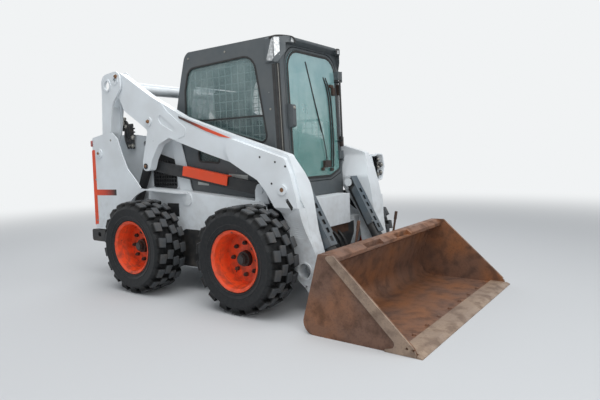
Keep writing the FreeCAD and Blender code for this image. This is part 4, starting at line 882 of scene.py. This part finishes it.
hood = bmesh.new()
rings = [[hood.verts.new(p) for p in hood_ring(x, out, grow)]
         for x, out, grow in ((1400, -46, 0), (1530, 0, 0), (1538, 0, 7), (1546, 0, 8), (1552, 0, 2),
                              (1548, 0, -8), (1530, 0, -12), (1488, -14, -12))]
for here, after in zip(rings, rings[1:]):
    for k in range(len(here)):
        hood.faces.new((here[k], here[(k + 1) % len(here)], after[(k + 1) % len(here)], after[k]))
keep_piece("coupler_hood", mesh_from(hood, "coupler_hood"), white_paint, "lift_arms")
# Painted shade: a black plate at the back of the hood darkens its cavity round the couplers.
back = bmesh.new()
slab(back, hood_ring(1482, -10, -8), Vector((0.004, 0, 0)))
keep_piece("coupler_hood_shade_plate", mesh_from(back, "coupler_hood_shade_plate", False), black_rubber, "lift_arms")
bodies = bmesh.new()
caps = bmesh.new()
for y, z in ((674, 942), (676, 1010), (680, 1078), (738, 958), (744, 1030)):
    short_studs(bodies, [at(1484, y, z)], (1, 0, 0), 22, 50)
    short_studs(bodies, [at(1500, y, z)], (1, 0, 0), 27, 14)
    short_studs(bodies, [at(1542, y, z)], (1, 0, 0), 15, 12)
    short_studs(caps, [at(1528, y, z)], (1, 0, 0), 26, 16)
keep_piece("coupler_bodies", mesh_from(bodies, "coupler_bodies"), zinc_steel, "lift_arms")
keep_piece("coupler_caps", mesh_from(caps, "coupler_caps"), engine_iron, "lift_arms")
print("couplers:", 5)

# %% [markdown]
# ## Dark lower frame and labels
# Below the wheel line a black film covers the chain case's side, and a black apron covers the
# frame's front under the step. Blank pale labels stand on the cab's side where the maker put text.

# %% Lower frame panels and blank labels
for side, sign in (("left", 1), ("right", -1)):
    lower = bmesh.new()
    slab(lower, [at(x, sign * 560.2, z) for x, z in ((250, 214), (930, 214), (930, 520), (860, 535), (330, 535),
                                                     (250, 500))], Vector((0, sign * 0.0015, 0)))
    slab(lower, [at(x, sign * 560.2, z) for x, z in ((108, 640), (254, 640), (254, 754), (108, 754))],
         Vector((0, sign * 0.003, 0)))
    keep_piece("black_lower_case_" + side, mesh_from(lower, "black_lower_case", False), black_paint, "chassis")
    labels = bmesh.new()
    for x0, x1, z0, z1, drop in ((377, 509, 905, 948, 6), (535, 766, 900, 934, 14), (749, 956, 950, 994, 12)):
        slab(labels, [at(x, sign * 440.3, z) for x, z in ((x0, z0 + drop), (x1, z0), (x1, z1), (x0, z1 + drop))],
             Vector((0, sign * 0.0004, 0)))
    keep_piece("blank_labels_" + side, mesh_from(labels, "blank_labels", False), blank_label, "chassis")
    strip = bmesh.new()
    slab(strip, [at(x, sign * 642.2, z) for x, z in ((-883, 520), (-838, 524), (-826, 1244), (-864, 1250))],
         Vector((0, sign * 0.0006, 0)))
    keep_piece("corner_band_" + side, mesh_from(strip, "corner_band", False), orange_paint, "chassis")
    marker = bmesh.new()
    soft_block(marker, at(-868, sign * 646, 1308), (26, 12, 58), bevel=4)
    keep_piece("side_marker_lens_" + side, mesh_from(marker, "side_marker_lens"), red_lens, "chassis")
    bore = bmesh.new()
    short_studs(bore, [at(1462, sign * 639, 900)], (0, sign, 0), 21, 15.8)
    keep_piece("knee_bore_bush_" + side, mesh_from(bore, "knee_bore_bush"), pin_rust, "lift_arms")
    # Painted shadow: a black plate lies on the slot's floor so that the slot shows dark.
    slot_shadow = bmesh.new()
    slab(slot_shadow, [at(x, sign * 634, z) for x, z in ((1480, 812), (1530, 752), (1552, 768), (1506, 830))],
         Vector((0, sign * 0.002, 0)))
    keep_piece("slot_shadow_plate_" + side, mesh_from(slot_shadow, "slot_shadow_plate", False), black_rubber, "lift_arms")
    bars = bmesh.new()
    slab(bars, [at(x, sign * 440.2, z) for x, z in ((282, 1448), (1142, 1448), (1140, 1463), (284, 1463))],
         Vector((0, sign * 0.004, 0)))
    keep_piece("sliding_pane_rail_" + side, mesh_from(bars, "sliding_pane_rail", False), black_rubber,
               "chassis")
apron = bmesh.new()
for (x0, z0), (x1, z1) in (((1436, 218), (1402, 340)), ((1402, 340), (1442, 450)), ((1442, 450), (1442, 552))):
    if z0 < 300:
        x0 = 1246
    slab(apron, [at(x0 + 1.5, -392, z0), at(x0 + 1.5, 392, z0), at(x1 + 1.5, 392, z1), at(x1 + 1.5, -392, z1)],
         Vector((0.0015, 0, 0)))
keep_piece("black_front_apron", mesh_from(apron, "black_front_apron", False), black_paint, "chassis")
for index, y in enumerate((-180, -130, -60, 40, 110)):
    bent_tube("feed_hose_%d" % index, [at(1452, y, 500), at(1490, y + 4, 470), at(1520, y + 26, 380),
                                       at(1490, y + 40, 300), at(1460, y + 44, 330)], 13, black_rubber, "chassis")
print("labels, bands and apron made")

# %% [markdown]
# ## Rolled rim steps
# A wheel rim is rolled from strip, and the rolls leave rounded steps round its inside. They
# are thin lathed rings seated on the CAD rim's cone.

# %% Rim steps
rim_steps = bmesh.new()
lathe(rim_steps, [(213, 116), (208, 116), (206, 112), (207, 108), (211, 106)], 96)
lathe(rim_steps, [(198, 82), (193, 82), (191, 76), (192, 68), (197, 66)], 96)
lathe(rim_steps, [(219, 134.3), (221, 136.5), (225, 136.5), (227.2, 134.3)], 96)
step_mesh = mesh_from(rim_steps, "rolled_rim_steps")
for corner, (x, sign) in wheels.items():
    ring = bpy.data.objects.new("rolled_rim_steps_" + corner, step_mesh)
    bpy.context.scene.collection.objects.link(ring)
    finish_object(ring, orange_paint)
    ring.location = at(x, sign * 758, 398)
    ring.rotation_euler = (0, 0, 0 if sign > 0 else math.pi)
    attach(ring, "wheel_" + corner)
print("rims stepped:", len(wheels))

# %% [markdown]
# ## Seat
# A suspension seat is moulded foam under sewn vinyl. The foam pushes the cover out between its
# seams, which a cloth simulation with a little inner pressure gives. The block starts smaller,
# is remeshed to an even net, swells for 20 frames, and no point may move further than a cap.
# Sewn channels are pressed in afterwards, because the net is too coarse to hold them.

# %% Padded forms
def swell(form, cap):
    """Puffs a closed mesh with Blender's cloth and keeps each point within cap millimetres."""
    cloth = form.modifiers.new("cloth", "CLOTH")
    cloth.settings.use_pressure = True
    cloth.settings.uniform_pressure_force = 4
    cloth.settings.effector_weights.gravity = 0
    cloth.settings.quality = 4
    rest = [v.co.copy() for v in form.data.vertices]
    for moment in range(1, 21):
        bpy.context.scene.frame_set(moment)
    swollen = form.evaluated_get(bpy.context.evaluated_depsgraph_get()).data
    places = [v.co.copy() for v in swollen.vertices]
    form.modifiers.remove(cloth)
    for vert, before, after in zip(form.data.vertices, rest, places):
        move = after - before
        if move.length > cap / 1000:
            move = move.normalized() * cap / 1000
        vert.co = before + move
    bpy.context.scene.frame_set(1)


def applied(form, kind, **settings):
    modifier = form.modifiers.new(kind.lower(), kind)
    for name, value in settings.items():
        setattr(modifier, name, value)
    mesh = bpy.data.meshes.new_from_object(form.evaluated_get(bpy.context.evaluated_depsgraph_get()))
    form.modifiers.clear()
    form.data = mesh


def pad(name, node, inset, lean, channels, channel_axis, face_axis, cap):
    low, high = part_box(node)
    middle, size = (low + high) / 2, high - low
    bm = bmesh.new()
    thick = size.x - abs(lean) * size.z if face_axis == 0 else size.x
    soft_block(bm, middle, ((thick * 1000) - 2 * inset, size.y * 1000 - 2 * inset, size.z * 1000 - 2 * inset),
               bevel=26, segments=4)
    for vert in bm.verts:
        vert.co.x += lean * (vert.co.z - middle.z)
    form = bpy.data.objects.new(name, mesh_from(bm, name))
    bpy.context.scene.collection.objects.link(form)
    bpy.context.view_layer.update()
    applied(form, "REMESH", mode="VOXEL", voxel_size=0.006)
    swell(form, cap)
    applied(form, "SUBSURF", levels=1)
    for vert in form.data.vertices:
        for place in channels:
            near = (vert.co[channel_axis] - middle[channel_axis]) * 1000 - place
            side = 1 if vert.co[face_axis] > middle[face_axis] + lean * (vert.co.z - middle.z) else 0
            vert.co[face_axis] -= 0.008 * side * math.exp(-(near / 7) ** 2)
    for face in form.data.polygons:
        face.use_smooth = True
    finish_object(form, seat_vinyl)
    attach(form, "chassis")
    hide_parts(node)
    print(name, "vertices", len(form.data.vertices))
    return form


cushion = pad("sewn_seat_cushion", "seat_cushion", 9, 0.0, (-120, 0, 120), 1, 2, 8)
backrest = pad("sewn_seat_backrest", "seat_backrest", 9, -0.09, (-120, 0, 120), 1, 0, 8)

# %% [markdown]
# ## Camera
# The photograph was taken from the machine's right front corner at about eye height. The
# camera's place and turn were solved from the wheels, the bucket and the cab.

# %% Camera
camera_data = bpy.data.cameras.new("camera")
camera_data.sensor_width = 36
camera_data.lens = 30.87
camera = bpy.data.objects.new("camera", camera_data)
bpy.context.scene.collection.objects.link(camera)
yaw, pitch, roll = (math.radians(a) for a in (126.01, -5.26, -1.72))
ahead = Vector((math.cos(yaw) * math.cos(pitch), math.sin(yaw) * math.cos(pitch), math.sin(pitch)))
level = Vector((math.sin(yaw), -math.cos(yaw), 0))
upward = level.cross(ahead)
right = level * math.cos(roll) + upward * math.sin(roll)
top = upward * math.cos(roll) - level * math.sin(roll)
camera.matrix_world = Matrix.Translation(at(3721.7, -3542.1, 1162.2)) @ Matrix(
    (right, top, -ahead)).transposed().to_4x4()
camera_data.clip_end = 200
bpy.context.scene.camera = camera
print("camera at", [round(c, 2) for c in camera.location])

# %% [markdown]
# ## Studio
# A pale floor and an overcast light from a large lamp overhead, as on a grey day: soft
# shadows, no hot spots. The world shows white to the camera and to reflections and gives a
# weaker light to the object.

# %% Floor, lamps and world
floor_mesh = bpy.data.meshes.new("floor")
floor_mesh.from_pydata([(-40, -40, 0), (40, -40, 0), (40, 40, 0), (-40, 40, 0)], [], [(0, 1, 2, 3)])
floor = bpy.data.objects.new("floor", floor_mesh)
bpy.context.scene.collection.objects.link(floor)
floor_paint, floor_shader, floor_place = start("pale_studio_floor")
floor_shader.inputs["Base Color"].default_value = linear("#C4C6C8")
floor_shader.inputs["Roughness"].default_value = 0.85
far = add(floor_paint, "VectorMath", {0: floor_place}, operation="LENGTH").outputs["Value"]
fade = add(floor_paint, "MapRange", {"Value": far, "From Min": 3.5, "From Max": 11.0},
           interpolation_type="SMOOTHERSTEP").outputs["Result"]
seen_by_camera = add(floor_paint, "LightPath", {}).outputs["Is Camera Ray"]
horizon = add(floor_paint, "Emission", {"Color": linear("#F1F3F4"), "Strength": 1.0})
faded = add(floor_paint, "MixShader", {0: times(floor_paint, fade, seen_by_camera),
                                       1: floor_shader.outputs[0], 2: horizon.outputs[0]})
wire(floor_paint, faded.outputs[0], floor_paint.node_tree.nodes["Material Output"].inputs["Surface"])
floor.data.materials.append(floor_paint)

for name, place, aim, size, power in (
        ("overhead", (1.0, -1.5, 6.5), (0, 0, 0.6), 6.0, 330),
        ("front_fill", (5.5, -3.5, 2.8), (0.6, 0, 0.7), 3.5, 120),
        ("rear_fill", (-4.5, 3.5, 4.0), (0, 0, 0.9), 4.0, 90)):
    lamp_data = bpy.data.lights.new(name, "AREA")
    lamp_data.size = size
    lamp_data.energy = power
    lamp = bpy.data.objects.new(name, lamp_data)
    bpy.context.scene.collection.objects.link(lamp)
    lamp.location = place
    lamp.rotation_euler = (Vector(aim) - Vector(place)).to_track_quat("-Z", "Y").to_euler()

world = bpy.data.worlds.new("studio")
bpy.context.scene.world = world
world.use_nodes = True
air = world.node_tree.nodes
links = world.node_tree.links
rays = air.new("ShaderNodeLightPath")
seen = air.new("ShaderNodeMath")
seen.operation = "MAXIMUM"
links.new(rays.outputs["Is Camera Ray"], seen.inputs[0])
links.new(rays.outputs["Is Glossy Ray"], seen.inputs[1])
also = air.new("ShaderNodeMath")
also.operation = "MAXIMUM"
links.new(seen.outputs[0], also.inputs[0])
links.new(rays.outputs["Is Transmission Ray"], also.inputs[1])
dim = air["Background"]
dim.inputs["Color"].default_value = linear("#E4E9EE")
dim.inputs["Strength"].default_value = 0.5
shown = air.new("ShaderNodeBackground")
shown.inputs["Color"].default_value = linear("#F1F3F4")
shown.inputs["Strength"].default_value = 1.0
mixed = air.new("ShaderNodeMixShader")
links.new(also.outputs[0], mixed.inputs[0])
links.new(dim.outputs[0], mixed.inputs[1])
links.new(shown.outputs[0], mixed.inputs[2])
links.new(mixed.outputs[0], air["World Output"].inputs["Surface"])
bpy.context.scene.view_settings.view_transform = "Standard"
print("studio set")
